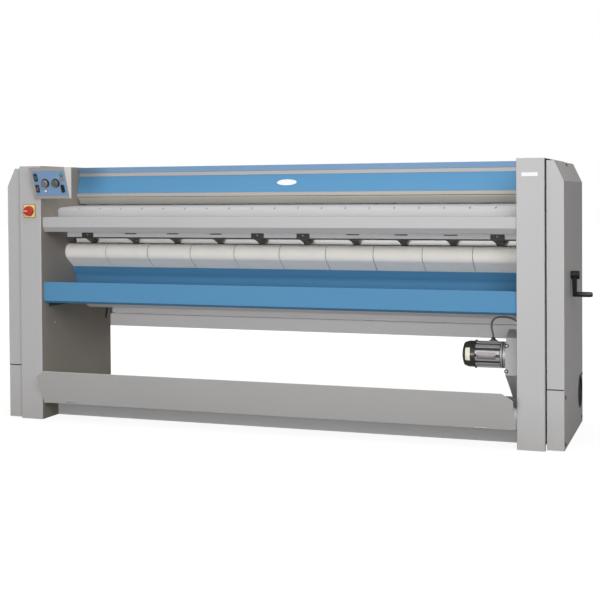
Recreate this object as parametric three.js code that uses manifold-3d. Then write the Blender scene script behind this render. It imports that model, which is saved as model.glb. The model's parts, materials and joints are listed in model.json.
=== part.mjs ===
// Rotary ironer: a free-standing flatwork ironer that takes linen in at the front,
// carries it round a heated cylinder under ten belts and gives it back over a nose roller.
// Sizes are millimetres, X runs to the right, Y to the back and Z up.
import * as THREE from "three";
import { mergeVertices } from "three/addons/utils/BufferGeometryUtils.js";
import Module from "manifold-3d";

const wasm = await Module();
wasm.setup();

// Overall sizes of the machine, with Y zero at the front of the columns
const height = 1200;
const wallSpan = 2236;
const columnWidth = 115;
const frameDepth = 675;
const coverWidth = 71;
const coverGap = 5;
const coverFront = 18;
const coverBehind = 33;

// Clearances and counts that serve every piece
const seat = 0.3;
const running = 0.6;
const over = 8;
const roundSteps = 28;
const rollerSteps = 16;
const smallSteps = 12;
const arcStep = 24;
const hexSides = 6;

// End frames: a folded channel with a top plate and a foot plate
const frame = {
  sheet: 3, bend: 4, lip: 22, floorGap: 1, footPlate: 20, railHeight: 16, railWidth: 12,
  railShares: [0.03, 0.26, 0.9], railStart: 60, slotInset: 45, slotLow: 419, slotHigh: 462, slotLean: 17,
  slotWidth: 9,
};

// Side covers outside the end frames
const cover = {
  sheet: 2.5, bend: 3, topDrop: 10, floorGap: 4, chamferWidth: 40, chamferHeight: 85,
  seam: 253.7, seamGap: 4,
};
const vent = {
  backInset: 109, z: 159, radius: 71, flange: 6, sheet: 2.2, neck: 6, rim: 3, bars: 6, barWidth: 5,
};

// Crossbars, rear cover and hood
const crossbar = { front: 142, depth: 60, top: 80, sheet: 3 };
const rearBar = { bottomShare: 0.3133, height: 61, depth: 30, sheet: 3 };
const rearCover = { depth: 25, sheet: 2.5, topDrop: 3, overlap: 107 };
const hood = {
  topDrop: 2, sheet: 2.5, stripFront: 348, stripFoot: 363, stripBack: 380, stripHeight: 26.7,
  trimHeight: 17.5, trimFront: 362, beamFront: 372, beamDepth: 40, beamHeight: 49, beamWall: 3,
  panelFoot: 340, panelReturn: 13, backFlange: 18,
};
const badge = { x: -7, length: 99, height: 31, thickness: 2.5, rise: 44.5 };

// Finger guard, hung from a rail under the hood panel
const guard = {
  railFoot: 341.5, railDepth: 14, railHeight: 17.2, railLift: 50.5, hingeY: 346.5, hingeDrop: 5,
  knuckle: 3.6, plate: 3, footY: 371.5, tableGap: 16, pin: 3, sideGap: 3,
};

// Feed table, its beam and the scraper comb
const table = {
  lift: 142, rise: 8, sheet: 2.5, chamfer: 25, chamferDrop: 11, riser: 155, shelfDrop: 44, railFront: 16,
  railDrop: 91, returnY: 33, returnDrop: 114, back: 366, backFlange: 8, slots: 19,
  slotLength: 21, slotWidth: 5, ribs: 5, ribSheet: 4, ribInset: 6, ribNose: 18,
};
const beam = {
  front: 240, depth: 60, bottomDrop: 145, wall: 3, slotLength: 60, slotHeight: 4.5, slotLift: 15,
};
const comb = {
  count: 10, topWidth: 68, footWidth: 26, sheet: 3, topY: 247, tipY: 300, tipDrop: 33.5, bar: 6.5,
  strip: 6, steps: 4, plateWidth: 62, plateSheet: 2.5, plateTop: 21.5, freeAside: 11,
};

// Heated cylinder and its bearings
const cylinder = {
  y: 473, share: 0.7167, radius: 162.5, wall: 8, sideGap: 10, end: 12, journal: 40, journalBore: 28,
  journalReach: 78, wallClear: 4, bearing: 70, bearingWidth: 30,
};
const heater = { pipe: 22, pipeBore: 16, rods: 6, rod: 6, circle: 90, disc: 105, discSheet: 4, discs: 3 };
const pipeHolder = { gap: 85, sheet: 6, width: 60, rise: 150, foot: 36 };

// Rollers that carry the belts
const nose = { y: 257, drop: 75, radius: 37 };
const lowerRear = { backInset: 75, share: 0.44, radius: 24 };
const upperRear = { backInset: 45, lift: 225, radius: 24 };
const feed = { bearingAngle: 108, radius: 25, nip: 0.6 };
const roller = { sideGap: 6, journal: 10, reach: 24, bearing: 22, bearingWidth: 16 };
const belt = { count: 10, thickness: 3, gap: 2.4, linkShare: 0.31, linkHeight: 8 };

// Receiving trough, lower shield and low linen tray
const trough = {
  front: 22, floorShare: 0.4592, flangeTop: 100, flangeFoot: 11, foldY: 40, floorBack: 298, back: 324,
  backFoot: 26, bendLift: 99, leanY: 315, leanLift: 124, topY: 285, topLift: 160, sheet: 2,
};
const troughBracket = { front: 65, depth: 190, height: 20, width: 22, sheet: 3 };
const shield = { topLift: 69, foldLift: 11, dipY: 452, dipDrop: 57, backDrop: 64, backFlange: 14, sheet: 2 };
const tray = {
  foldY: 5, topY: -78, topZ: 242, backInset: 115, backLean: 14, backHeight: 42, sheet: 2,
  sideGap: 6, cornerWidth: 42, cornerHeight: 30, slotInset: 150, slotLength: 52, slotHeight: 4, slotLift: 2,
};
const trayRest = { height: 22, width: 24, sheet: 3, start: 6 };

// Drive: housing on the right inner wall, gear unit, motor, sprockets and chains
const housing = {
  depth: 68, sheet: 3, share: 0.135,
  top: [231, 309], browFront: [150, 281], crease: [127, 194], chinFront: [126, 125], chin: [195, 83],
  bottomFront: [322, 0], bottomBack: [420, 0], back: [450, 138], topBack: [430, 280],
};
const gearUnit = { y: 170, depth: 210, lift: 143, height: 120, front: 6 };
const motor = {
  y: 214, lift: 200, flange: 57, flangeWidth: 9.4, core: 50, fins: 12, finReach: 57.5, finShare: 0.55,
  length: 126, shaft: 8, bossHeight: 62, bossWidth: 30, bossLength: 34, bossOffset: 71,
};
const cowl = {
  length: 57.5, radius: 56.5, ridge: 61.5, ridgeWidth: 5, straight: 32, shoulder: 49, shoulderRun: 52,
  nose: 33, wall: 3, vents: 6, ventRadius: 5, ventCircle: 22,
};
const fan = { hub: 16, blades: 6, blade: 48, bladeWidth: 22, bladeSheet: 3, endGap: 25 };
const gland = { nut: 11, nutHeight: 5, cap: 7.5, height: 8 };
const lead = {
  diameter: 8.5, steps: 34, sides: 8,
  route: [[-0.4, -54.5], [-3.5, -42.6], [-7.3, -23.4], [-7.8, -9.7], [-5.5, 4.2], [0.6, 14.3], [10, 21.2],
    [23.7, 25.4], [40.2, 26.4], [56.6, 25.8], [73, 22.9], [86.6, 18.4], [97.5, 12.2], [107, 5],
    [115.5, 0]],
};
const grommet = { lift: 336, flange: 9, reach: 8, neck: 5.7, neckReach: 6 };
const output = { y: 330, lift: 198, shaft: 12 };
const chain = { thickness: 6, width: 12, clear: 0.6, driverRadius: 30, drivenRadius: 120, gap: 45,
  handGap: 71, disc: 8, handRadius: 30 };

// Hand crank on the right side cover
const crank = {
  y: 250, share: 0.59, shaft: 10, bearing: 18, bearingReach: 56, holeClear: 4, hubRadius: 18, hubStart: 1,
  hubWidth: 32, armLength: 82, armTop: 15, armFoot: 11, armSheet: 16, armInset: 8, grip: 11, pin: 5,
  gripLength: 66, gripEnd: 8,
};

// Control box on the left column, tipped forward at the top
const box = {
  outward: 23, inward: 166, topFront: -65, footFront: -13, topDrop: 8, rise: 146, sheet: 2.5,
  plateReach: 45, plateInset: 5,
};
const fascia = { left: -80, right: 88, foot: -64, top: 61, sheet: 1.5 };
const knob = {
  x: [-19, 36.3], up: 0.5, skirt: 21, skirtHeight: 5, grip: 17.5, height: 13, shaft: 3, reach: 14,
};
const rocker = { width: 18, length: 38, proud: 5, dip: 2.5, depth: 9, footShare: 0.65,
  places: [[-65, 28], [-66, -27], [68.7, -28]] };
const button = { x: -23.3, up: -38.7, radius: 7.5, proud: 6, reach: 9 };
const lamp = { radius: 8, dome: 5, shaft: 5, reach: 10, base: 4, places: [[72.7, 39], [71.7, 19.5]] };
const mainSwitch = {
  outward: 59, share: 0.8229, plateWidth: 63, plateHeight: 65, plateSheet: 3.5, dial: 24.5, dialHeight: 12,
  lever: 16, leverTip: 11, leverReach: 31, leverHeight: 8, shaft: 5, neck: 12, shaftReach: 26, bodyDepth: 56,
  bodyInset: 6,
};

// Feet and switchgear inside the frames
const foot = { pad: 25, padHeight: 10, stem: 8, reach: 48, nut: 14, nutHeight: 8, frontY: 70, backInset: 65 };
const switchgear = { y: 120, depth: 300, z: 250, height: 450, sheet: 3, blocks: 3, rows: 2,
  blockWidth: 60, blockHeight: 90, blockDepth: 70, gap: 24 };

// Sizes that follow from the ones above
const innerX = wallSpan / 2;
const outerX = innerX + columnWidth;
const coverInX = outerX + coverGap;
const coverOutX = coverInX + coverWidth;
const coverBack = frameDepth + coverBehind;
const coverTop = height - cover.topDrop;
const wallBackX = innerX + frame.sheet;
const spanX = innerX - seat;
const housingX = spanX - housing.depth;
const motorEndX = housingX - seat - motor.flangeWidth;
const motorStartX = motorEndX - motor.length;
const crankOutX = coverOutX + crank.hubStart + crank.armInset + crank.armSheet + seat + crank.gripLength;
const centreX = (crankOutX - coverOutX) / 2;
const centreY = (coverBack + tray.topY) / 2;
const beltRun = seat + belt.thickness / 2;
cylinder.z = height * cylinder.share;
nose.z = cylinder.z - nose.drop;
upperRear.z = cylinder.z + upperRear.lift;
lowerRear.z = height * lowerRear.share;
lowerRear.y = frameDepth - lowerRear.backInset;
upperRear.y = frameDepth - upperRear.backInset;
feed.distance = cylinder.radius + feed.radius + beltRun * 2 + feed.nip;
feed.y = cylinder.y + feed.distance * Math.cos(THREE.MathUtils.degToRad(feed.bearingAngle));
feed.z = cylinder.z + feed.distance * Math.sin(THREE.MathUtils.degToRad(feed.bearingAngle));

// Heights of the table group, the trough, the drive and the controls
table.top = cylinder.z + table.lift;
table.shelf = table.top - table.shelfDrop;
beam.bottom = table.top - beam.bottomDrop;
comb.tipZ = cylinder.z - comb.tipDrop;
trough.floor = height * trough.floorShare;
housing.bottom = height * housing.share;
motor.z = housing.bottom + motor.lift;
grommet.z = housing.bottom + grommet.lift;
output.z = housing.bottom + output.lift;
crank.z = height * crank.share;
vent.y = coverBack - vent.backInset;
chain.plane = wallBackX + chain.gap;
chain.handPlane = wallBackX + chain.handGap;
mainSwitch.x = -innerX - mainSwitch.outward;
mainSwitch.z = height * mainSwitch.share;

// Paints and materials
const finish = (color, roughness, metalness = 0) =>
  new THREE.MeshStandardMaterial({ color, roughness, metalness });
const finishes = {
  lightGrey: finish(0xb4b4b6, 0.5),
  blue: finish(0x609dce, 0.45),
  paleBlue: finish(0x7ea8d6, 0.45),
  troughBlue: finish(0x5288b0, 0.45),
  darkGrey: finish(0x48463f, 0.6),
  belting: finish(0xd4d3cf, 0.9),
  steel: finish(0xb8bbbe, 0.3, 1),
  polished: finish(0xe2e4e6, 0.15, 1),
  castGrey: finish(0x8e9093, 0.55, 0.6),
  aluminium: finish(0xa9abad, 0.4, 0.9),
  black: finish(0x17171a, 0.5),
  rubber: finish(0x232325, 0.8),
  green: finish(0x1f4a3d, 0.5),
  signalRed: finish(0xc23a1e, 0.4),
  signalYellow: finish(0xe8d68a, 0.45),
  lampGreen: finish(0x2f8f5a, 0.25),
  lampOrange: finish(0xd07a3c, 0.25),
  white: finish(0xe8e8ea, 0.4),
  leadGrey: finish(0x7c7c80, 0.6),
};

// Solids: conversion to and from the joining library
const toSolid = (geometry) => {
  const shape = geometry.clone();
  for (const name of Object.keys(shape.attributes)) {
    if (name !== "position") shape.deleteAttribute(name);
  }
  const merged = mergeVertices(shape);
  const vertProperties = new Float32Array(merged.attributes.position.array);
  const triVerts = new Uint32Array(merged.index.array);
  return new wasm.Manifold(new wasm.Mesh({ numProp: 3, vertProperties, triVerts }));
};
const toGeometry = (solid) => {
  const mesh = solid.getMesh();
  const geometry = new THREE.BufferGeometry();
  geometry.setAttribute("position", new THREE.BufferAttribute(new Float32Array(mesh.vertProperties), 3));
  geometry.setIndex(new THREE.BufferAttribute(new Uint32Array(mesh.triVerts), 1));
  return geometry;
};
const join = (first, ...others) =>
  toGeometry(others.reduce((solid, next) => solid.add(toSolid(next)), toSolid(first)));
const cut = (first, ...tools) =>
  toGeometry(tools.reduce((solid, tool) => solid.subtract(toSolid(tool)), toSolid(first)));

// Mirror image across the middle plane, with the faces turned back outwards
const mirrored = (geometry) => {
  const image = geometry.index ? geometry.toNonIndexed() : geometry.clone();
  const flipped = image.attributes.position.array;
  const stride = image.attributes.position.itemSize;
  for (let start = 0; start < flipped.length; start += stride * stride) {
    const second = Array.from(flipped.slice(start + stride, start + stride * 2));
    const third = Array.from(flipped.slice(start + stride * 2, start + stride * stride));
    flipped.set(third, start + stride);
    flipped.set(second, start + stride * 2);
  }
  for (let i = 0; i < flipped.length; i += stride) flipped[i] = -flipped[i];
  image.deleteAttribute("normal");
  image.deleteAttribute("uv");
  return image;
};
const both = (geometry) => join(geometry, mirrored(geometry));

// Basic shapes: blocks, rods and extrusions along each axis
const block = (x0, x1, y0, y1, z0, z1) => {
  const geometry = new THREE.BoxGeometry(x1 - x0, y1 - y0, z1 - z0);
  return geometry.translate((x0 + x1) / 2, (y0 + y1) / 2, (z0 + z1) / 2);
};
const rodX = (radius, x0, x1, y, z, steps = roundSteps) => {
  const geometry = new THREE.CylinderGeometry(radius, radius, x1 - x0, steps);
  return geometry.rotateZ(Math.PI / 2).translate((x0 + x1) / 2, y, z);
};
const rodY = (radius, y0, y1, x, z, steps = roundSteps) => {
  const geometry = new THREE.CylinderGeometry(radius, radius, y1 - y0, steps);
  return geometry.translate(x, (y0 + y1) / 2, z);
};
const rodZ = (radius, z0, z1, x, y, steps = roundSteps) => {
  const geometry = new THREE.CylinderGeometry(radius, radius, z1 - z0, steps);
  return geometry.rotateX(Math.PI / 2).translate(x, y, (z0 + z1) / 2);
};
const outlineShape = (points, holes) => {
  const shape = new THREE.Shape(points.map(([a, b]) => new THREE.Vector2(a, b)));
  shape.holes = holes.map((hole) => new THREE.Path(hole.map(([a, b]) => new THREE.Vector2(a, b))));
  return shape;
};
const extruded = (points, depth, holes) =>
  new THREE.ExtrudeGeometry(outlineShape(points, holes), { depth, bevelEnabled: false });
const axisX = new THREE.Vector3(1, 0, 0);
const axisY = new THREE.Vector3(0, 1, 0);
const axisZ = new THREE.Vector3(0, 0, 1);
const alongX = (points, x0, x1, holes = []) => {
  const turn = new THREE.Matrix4().makeBasis(axisY, axisZ, axisX);
  return extruded(points, x1 - x0, holes).applyMatrix4(turn).translate(x0, 0, 0);
};
const alongY = (points, y0, y1, holes = []) => {
  const swap = (list) => list.map(([x, z]) => [z, x]);
  const turn = new THREE.Matrix4().makeBasis(axisZ, axisX, axisY);
  return extruded(swap(points), y1 - y0, holes.map(swap)).applyMatrix4(turn).translate(0, y0, 0);
};
const alongZ = (points, z0, z1, holes = []) => extruded(points, z1 - z0, holes).translate(0, 0, z0);

// A turned piece about the X axis from pairs of place along X and radius
const turned = (profile, steps = roundSteps) => {
  const points = profile.map(([x, radius]) => new THREE.Vector2(radius, x));
  return new THREE.LatheGeometry(points, steps).rotateZ(-Math.PI / 2);
};

// A path moved sideways to its left, with mitred corners
const offsetPath = (points, distance) => points.map((point, i) => {
  const before = points[Math.max(i - 1, 0)];
  const after = points[Math.min(i + 1, points.length - 1)];
  const inward = [point[0] - before[0], point[1] - before[1]];
  const outward = [after[0] - point[0], after[1] - point[1]];
  const unit = ([a, b]) => [a / (Math.hypot(a, b) || 1), b / (Math.hypot(a, b) || 1)];
  const first = i === 0 ? unit(outward) : unit(inward);
  const second = i === points.length - 1 ? first : unit(outward);
  const normal = [-(first[1] + second[1]), first[0] + second[0]];
  const scale = distance / (1 + first[0] * second[0] + first[1] * second[1]);
  return [point[0] + normal[0] * scale, point[1] + normal[1] * scale];
});
const folded = (points, sheet) => [...points, ...offsetPath(points, sheet).reverse()];

// A path with its corners rounded
const rounded = (points, radius, steps, closed = false) => {
  const path = [];
  points.forEach((point, i) => {
    const count = points.length;
    if (!closed && (i === 0 || i === count - 1)) {
      path.push(point);
      return;
    }
    const before = points[(i + count - 1) % count];
    const after = points[(i + 1) % count];
    const unit = (to) => {
      const size = Math.hypot(to[0] - point[0], to[1] - point[1]);
      return [(to[0] - point[0]) / size, (to[1] - point[1]) / size];
    };
    const toBefore = unit(before);
    const toAfter = unit(after);
    const halfAngle = Math.acos(toBefore[0] * toAfter[0] + toBefore[1] * toAfter[1]) / 2;
    const run = radius / Math.tan(halfAngle);
    const start = [point[0] + toBefore[0] * run, point[1] + toBefore[1] * run];
    const end = [point[0] + toAfter[0] * run, point[1] + toAfter[1] * run];
    const middle = [toBefore[0] + toAfter[0], toBefore[1] + toAfter[1]];
    const reach = radius / Math.sin(halfAngle) / Math.hypot(...middle);
    const centre = [point[0] + middle[0] * reach, point[1] + middle[1] * reach];
    const from = Math.atan2(start[1] - centre[1], start[0] - centre[0]);
    let sweep = Math.atan2(end[1] - centre[1], end[0] - centre[0]) - from;
    sweep -= Math.round(sweep / (Math.PI * 2)) * Math.PI * 2;
    for (let step = 0; step <= steps; step += 1) {
      const angle = from + (sweep * step) / steps;
      path.push([centre[0] + radius * Math.cos(angle), centre[1] + radius * Math.sin(angle)]);
    }
  });
  return path;
};
const rectangle = (a0, a1, b0, b1) => [[a0, b0], [a1, b0], [a1, b1], [a0, b1]];
const circle = (a, b, radius, steps = roundSteps) =>
  Array.from({ length: steps }, (_, i) => {
    const angle = ((i + 0.5) / steps) * Math.PI * 2;
    return [a + radius * Math.cos(angle), b + radius * Math.sin(angle)];
  });

// A belt or chain round wheels: the corners of a path whose sides all touch the wheels' circles
const loopPath = (wheels) => {
  const places = [];
  const runs = wheels.map((wheel, i) => {
    const next = wheels[(i + 1) % wheels.length];
    const across = next.y - wheel.y;
    const rise = next.z - wheel.z;
    const lean = Math.asin((wheel.turn * wheel.radius - next.turn * next.radius) / Math.hypot(across, rise));
    return Math.atan2(rise, across) + lean;
  });
  wheels.forEach((wheel, i) => {
    const start = runs[(i + wheels.length - 1) % wheels.length];
    const full = Math.PI * 2;
    const turn = (((runs[i] - start) * wheel.turn) % full + full) % full;
    const steps = Math.max(1, Math.ceil(THREE.MathUtils.radToDeg(turn) / arcStep));
    const widen = 1 / Math.cos(turn / steps / 2);
    for (let step = 0; step < steps; step += 1) {
      const heading = start + (wheel.turn * turn * (step + 0.5)) / steps;
      places.push({ wheel, heading, widen });
    }
  });
  return places;
};
const loopOutline = (places, aside) => places.map(({ wheel, heading, widen }) => {
  const reach = (wheel.turn * wheel.radius + aside) * widen;
  return [wheel.y + reach * Math.sin(heading), wheel.z - reach * Math.cos(heading)];
});
const loop = (wheels, thickness, x0, x1) => {
  const places = loopPath(wheels);
  return alongX(loopOutline(places, thickness / 2), x0, x1, [loopOutline(places, -thickness / 2)]);
};

// The whole machine
const ironer = new THREE.Group();
ironer.position.set(-centreX, -centreY, 0);
const piece = (name, geometry, material, parent = ironer) => {
  const mesh = new THREE.Mesh(geometry, material);
  mesh.name = name;
  parent.add(mesh);
  return mesh;
};
const placed = (mesh, x, y, z) => {
  mesh.position.set(x, y, z);
  return mesh;
};

// End frames: the column front, the inner wall and the back flange are one folded sheet
const rollers = [nose, lowerRear, upperRear, feed];
const hingeZ = table.top + guard.railLift - guard.hingeDrop;
const holderBearing = (radius, reach, y, z) =>
  rodX(radius, innerX + frame.sheet / 2, wallBackX + reach, y, z, smallSteps);
const wallHole = (radius, reach, y, z, steps = roundSteps) =>
  rodX(radius, innerX - over, wallBackX + reach + over, y, z, steps);
const wallAngle = ({ height: drop, width, sheet }, startX, top, y0, y1) =>
  alongY(folded([[startX, top - drop], [startX, top], [startX - width, top]], sheet), y0, y1);
const footX = innerX + columnWidth / 2;
const trayBack = frameDepth - tray.backInset;
const levellingFoot = (y) => join(
  rodZ(foot.pad, 0, foot.padHeight, footX, y, rollerSteps),
  rodZ(foot.stem, foot.padHeight / 2, foot.reach, footX, y, smallSteps),
  rodZ(foot.nut, foot.padHeight / 2, frame.footPlate + frame.sheet + foot.nutHeight, footX, y, hexSides),
);
const endFrame = (extraPieces, extraHoles) => {
  const channel = [[outerX, frame.lip], [outerX, 0], [innerX, 0], [innerX, frameDepth],
    [outerX, frameDepth], [outerX, frameDepth - frame.lip]];
  const wall = alongZ(folded(rounded(channel, frame.bend, 2), -frame.sheet), frame.floorGap, height);
  const inside = frame.sheet / 2;
  const plate = (z0) => block(innerX + inside, outerX - inside, inside, frameDepth - inside,
    z0, z0 + frame.sheet);
  const topPlate = plate(height - frame.sheet);
  const footPlate = plate(frame.footPlate);
  const railBack = frameDepth - inside;
  const coverFaceX = coverOutX - cover.sheet - seat;
  const rails = frame.railShares.map((share) => height * share).flatMap((z) => [
    block(outerX - frame.railWidth, outerX, coverFront + seat, railBack, z, z + frame.railHeight),
    block(outerX - frame.railWidth, coverFaceX, coverFront + frame.railStart, railBack, z,
      z + frame.railHeight),
  ]);
  const restX = innerX + frame.sheet / 2;
  const trayRests = [
    wallAngle(trayRest, restX, crossbar.top, tray.foldY + trayRest.start, crossbar.front - seat),
    wallAngle(trayRest, restX, crossbar.top, crossbar.front + crossbar.depth + seat, trayBack),
  ];
  const bearings = rollers.map(({ y, z }) => holderBearing(roller.bearing, roller.bearingWidth, y, z));
  const feet = [foot.frontY, frameDepth - foot.backInset].map(levellingFoot);
  const holes = [
    wallHole(cylinder.journal + cylinder.wallClear, 0, cylinder.y, cylinder.z),
    ...rollers.map(({ y, z }) => wallHole(roller.journal + running, roller.bearingWidth, y, z, smallSteps)),
    wallHole(guard.pin + seat, 0, guard.hingeY, hingeZ, smallSteps),
  ];
  return cut(join(wall, topPlate, footPlate, ...rails, ...trayRests, ...bearings, ...feet, ...extraPieces),
    ...holes, ...extraHoles);
};
const crankBearing = holderBearing(crank.bearing, crank.bearingReach, crank.y, crank.z);
const rightHoles = [
  wallHole(output.shaft + running, 0, output.y, output.z),
  wallHole(grommet.neck + seat, 0, motor.y, grommet.z, smallSteps),
  rodX(crank.shaft + running, wallBackX, wallBackX + crank.bearingReach + over, crank.y, crank.z,
    smallSteps),
];
const slotHalf = frame.slotWidth / 2;
const slotY = frameDepth - frame.slotInset;
const slotOutline = [[slotY - slotHalf, frame.slotLow], [slotY + slotHalf, frame.slotLow],
  [slotY + slotHalf + frame.slotLean, frame.slotHigh], [slotY - slotHalf + frame.slotLean, frame.slotHigh]];
const leftHoles = [
  alongX(slotOutline, innerX - over, wallBackX + over),
  rodY(mainSwitch.neck + running, -over, frame.sheet + over, -mainSwitch.x, mainSwitch.z),
];

// Motor lead route, from the gland on the motor to the grommet in the right wall
const bossTopZ = motor.z + motor.bossHeight;
const glandX = motorStartX + motor.bossOffset;
const leadStartZ = bossTopZ + seat + gland.nutHeight + gland.height + seat;
const leadEndX = spanX - grommet.reach - seat;
const leadPoints = [
  [glandX, motor.y, leadStartZ],
  ...lead.route.map(([aside, rise]) => [glandX + aside, motor.y, grommet.z + rise]),
  [leadEndX, motor.y, grommet.z],
];

piece("side_frame_right", endFrame([crankBearing], rightHoles), finishes.lightGrey);
piece("side_frame_left", mirrored(endFrame([], leftHoles)), finishes.lightGrey);

// Side covers: an upper shell with the long chamfer and a lower shell, open towards the frame
const chamferFootZ = coverTop - cover.chamferHeight;
const chamferX = coverOutX - cover.chamferWidth;
const upperCover = (...extraCuts) => {
  const bottom = cover.seam + seat;
  const outer = [[coverInX, bottom], [coverOutX, bottom], [coverOutX, chamferFootZ],
    [chamferX, coverTop], [coverInX, coverTop]];
  const innerPath = offsetPath([[coverOutX, bottom - over], [coverOutX, chamferFootZ],
    [chamferX, coverTop], [coverInX - over, coverTop]], cover.sheet);
  const inner = [[coverInX - over, bottom - over], ...innerPath];
  const back = coverBack - cover.sheet;
  return cut(alongY(outer, coverFront, coverBack), alongY(inner, coverFront + cover.sheet, back),
    ...extraCuts);
};
const lowerCover = (...extraCuts) => {
  const path = [[coverInX, coverFront], [coverOutX, coverFront], [coverOutX, coverBack],
    [coverInX, coverBack]];
  const shell = alongZ(folded(rounded(path, cover.bend, 2), cover.sheet), cover.floorGap, cover.seam);
  const seam = block(coverInX - over, coverOutX - cover.bend, coverFront - over, coverBack + over,
    cover.seam - cover.seamGap, cover.seam + over);
  return cut(shell, seam, ...extraCuts);
};
const coverHole = (radius, y, z) => rodX(radius, coverInX, coverOutX + over, y, z);
piece("side_cover_right", upperCover(coverHole(crank.shaft + crank.holeClear, crank.y, crank.z)),
  finishes.lightGrey);
piece("side_cover_left", mirrored(upperCover()), finishes.lightGrey);
piece("lower_cover_right", lowerCover(coverHole(vent.radius, vent.y, vent.z)), finishes.lightGrey);
piece("lower_cover_left", mirrored(lowerCover()), finishes.lightGrey);

// Round vent guard: a flanged ring with upright bars, set in the hole of the right lower cover
const ventOut = coverOutX + seat;
const ventNeck = vent.radius - seat;
const ventRing = turned([
  [ventOut - vent.neck, ventNeck - vent.rim], [ventOut - vent.neck, ventNeck], [ventOut, ventNeck],
  [ventOut, vent.radius + vent.flange], [ventOut + vent.sheet, vent.radius + vent.flange],
  [ventOut + vent.sheet, ventNeck - vent.rim], [ventOut - vent.neck, ventNeck - vent.rim],
]).translate(0, vent.y, vent.z);
const ventBars = Array.from({ length: vent.bars }, (_, i) => {
  const aside = ((i + 0.5) / vent.bars - 0.5) * 2 * (ventNeck - vent.rim);
  const half = Math.sqrt((ventNeck - vent.rim / 2) ** 2 - aside ** 2);
  return block(ventOut - vent.neck, ventOut - vent.neck / 2, vent.y + aside - vent.barWidth / 2,
    vent.y + aside + vent.barWidth / 2, vent.z - half, vent.z + half);
});
piece("vent_guard", join(ventRing, ...ventBars), finishes.black);

// Crossbars between the end frames and the rear cover
const frontBar = [[crossbar.front + crossbar.depth, crossbar.top], [crossbar.front, crossbar.top],
  [crossbar.front, frame.floorGap], [crossbar.front + crossbar.depth, frame.floorGap]];
piece("front_crossbar", alongX(folded(frontBar, crossbar.sheet), -spanX, spanX), finishes.lightGrey);
const rearFace = frameDepth + seat;
const rearBarFoot = height * rearBar.bottomShare;
const rearBarTop = rearBarFoot + rearBar.height;
const backBar = [[rearFace + rearBar.depth, rearBarTop], [rearFace, rearBarTop],
  [rearFace, rearBarFoot], [rearFace + rearBar.depth, rearBarFoot]];
piece("rear_crossbar", alongX(folded(backBar, rearBar.sheet), -outerX, outerX), finishes.lightGrey);
const rearX = innerX + rearCover.overlap;
const rearTop = height - rearCover.topDrop;
const rearBottom = rearBarTop + seat;
const rearBack = rearFace + rearCover.depth;
piece("rear_cover", cut(
  block(-rearX, rearX, rearFace, rearBack, rearBottom, rearTop),
  block(-rearX + rearCover.sheet, rearX - rearCover.sheet, rearFace - over, rearBack - rearCover.sheet,
    rearBottom + rearCover.sheet, rearTop - rearCover.sheet),
), finishes.lightGrey);

// Hood: beam with its groove strip, cover sheet, pale top strip and blue front panel
const hoodTop = height - hood.topDrop;
const beamTop = hoodTop - hood.sheet - seat;
const hoodBeamBack = hood.beamFront + hood.beamDepth;
const hoodBeamFoot = beamTop - hood.beamHeight;
const hoodBeamOut = rectangle(hood.beamFront, hoodBeamBack, hoodBeamFoot, beamTop);
const hoodBeamIn = rectangle(hood.beamFront + hood.beamWall, hoodBeamBack - hood.beamWall,
  hoodBeamFoot + hood.beamWall, beamTop - hood.beamWall);
const stripFootZ = hoodTop - hood.stripHeight;
const trimTop = stripFootZ - seat;
const trimFoot = trimTop - hood.trimHeight;
piece("hood_beam", join(alongX(hoodBeamOut, -spanX, spanX, [hoodBeamIn]),
  block(-spanX, spanX, hood.trimFront, hood.beamFront + hood.beamWall / 2, trimFoot, trimTop)),
finishes.castGrey);
const hoodPath = [[hood.stripBack + seat, hoodTop], [frameDepth, hoodTop],
  [frameDepth, hoodTop - hood.backFlange]];
piece("hood_cover", alongX(folded(hoodPath, -hood.sheet), -spanX, spanX), finishes.lightGrey);
const stripPath = [[hood.stripBack, hoodTop], [hood.stripFront, hoodTop], [hood.stripFoot, stripFootZ]];
piece("hood_top_strip", alongX(folded(stripPath, hood.sheet), -spanX, spanX), finishes.paleBlue);
const againstBeam = hood.beamFront - seat;
const panelTop = trimFoot - seat;
const panelFootZ = table.top + guard.railLift + guard.railHeight + seat;
const panelPath = [[againstBeam, panelTop], [hood.trimFront, panelTop], [hood.panelFoot, panelFootZ],
  [hood.panelFoot + hood.panelReturn, panelFootZ]];
piece("hood_front_panel", alongX(folded(panelPath, hood.sheet), -spanX, spanX), finishes.blue);

// Blank badge plate on the hood panel
const panelLean = Math.atan2(hood.trimFront - hood.panelFoot, panelTop - panelFootZ);
const badgeY = hood.panelFoot + badge.rise * Math.tan(panelLean);
const badgeOval = circle(0, 0, 1, roundSteps)
  .map(([x, z]) => [x * badge.length / 2, z * badge.height / 2]);
const badgePlate = alongY(badgeOval, -seat - badge.thickness, -seat).rotateX(-panelLean);
placed(piece("badge_plate", badgePlate, finishes.white), badge.x, badgeY, panelFootZ + badge.rise);

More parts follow.
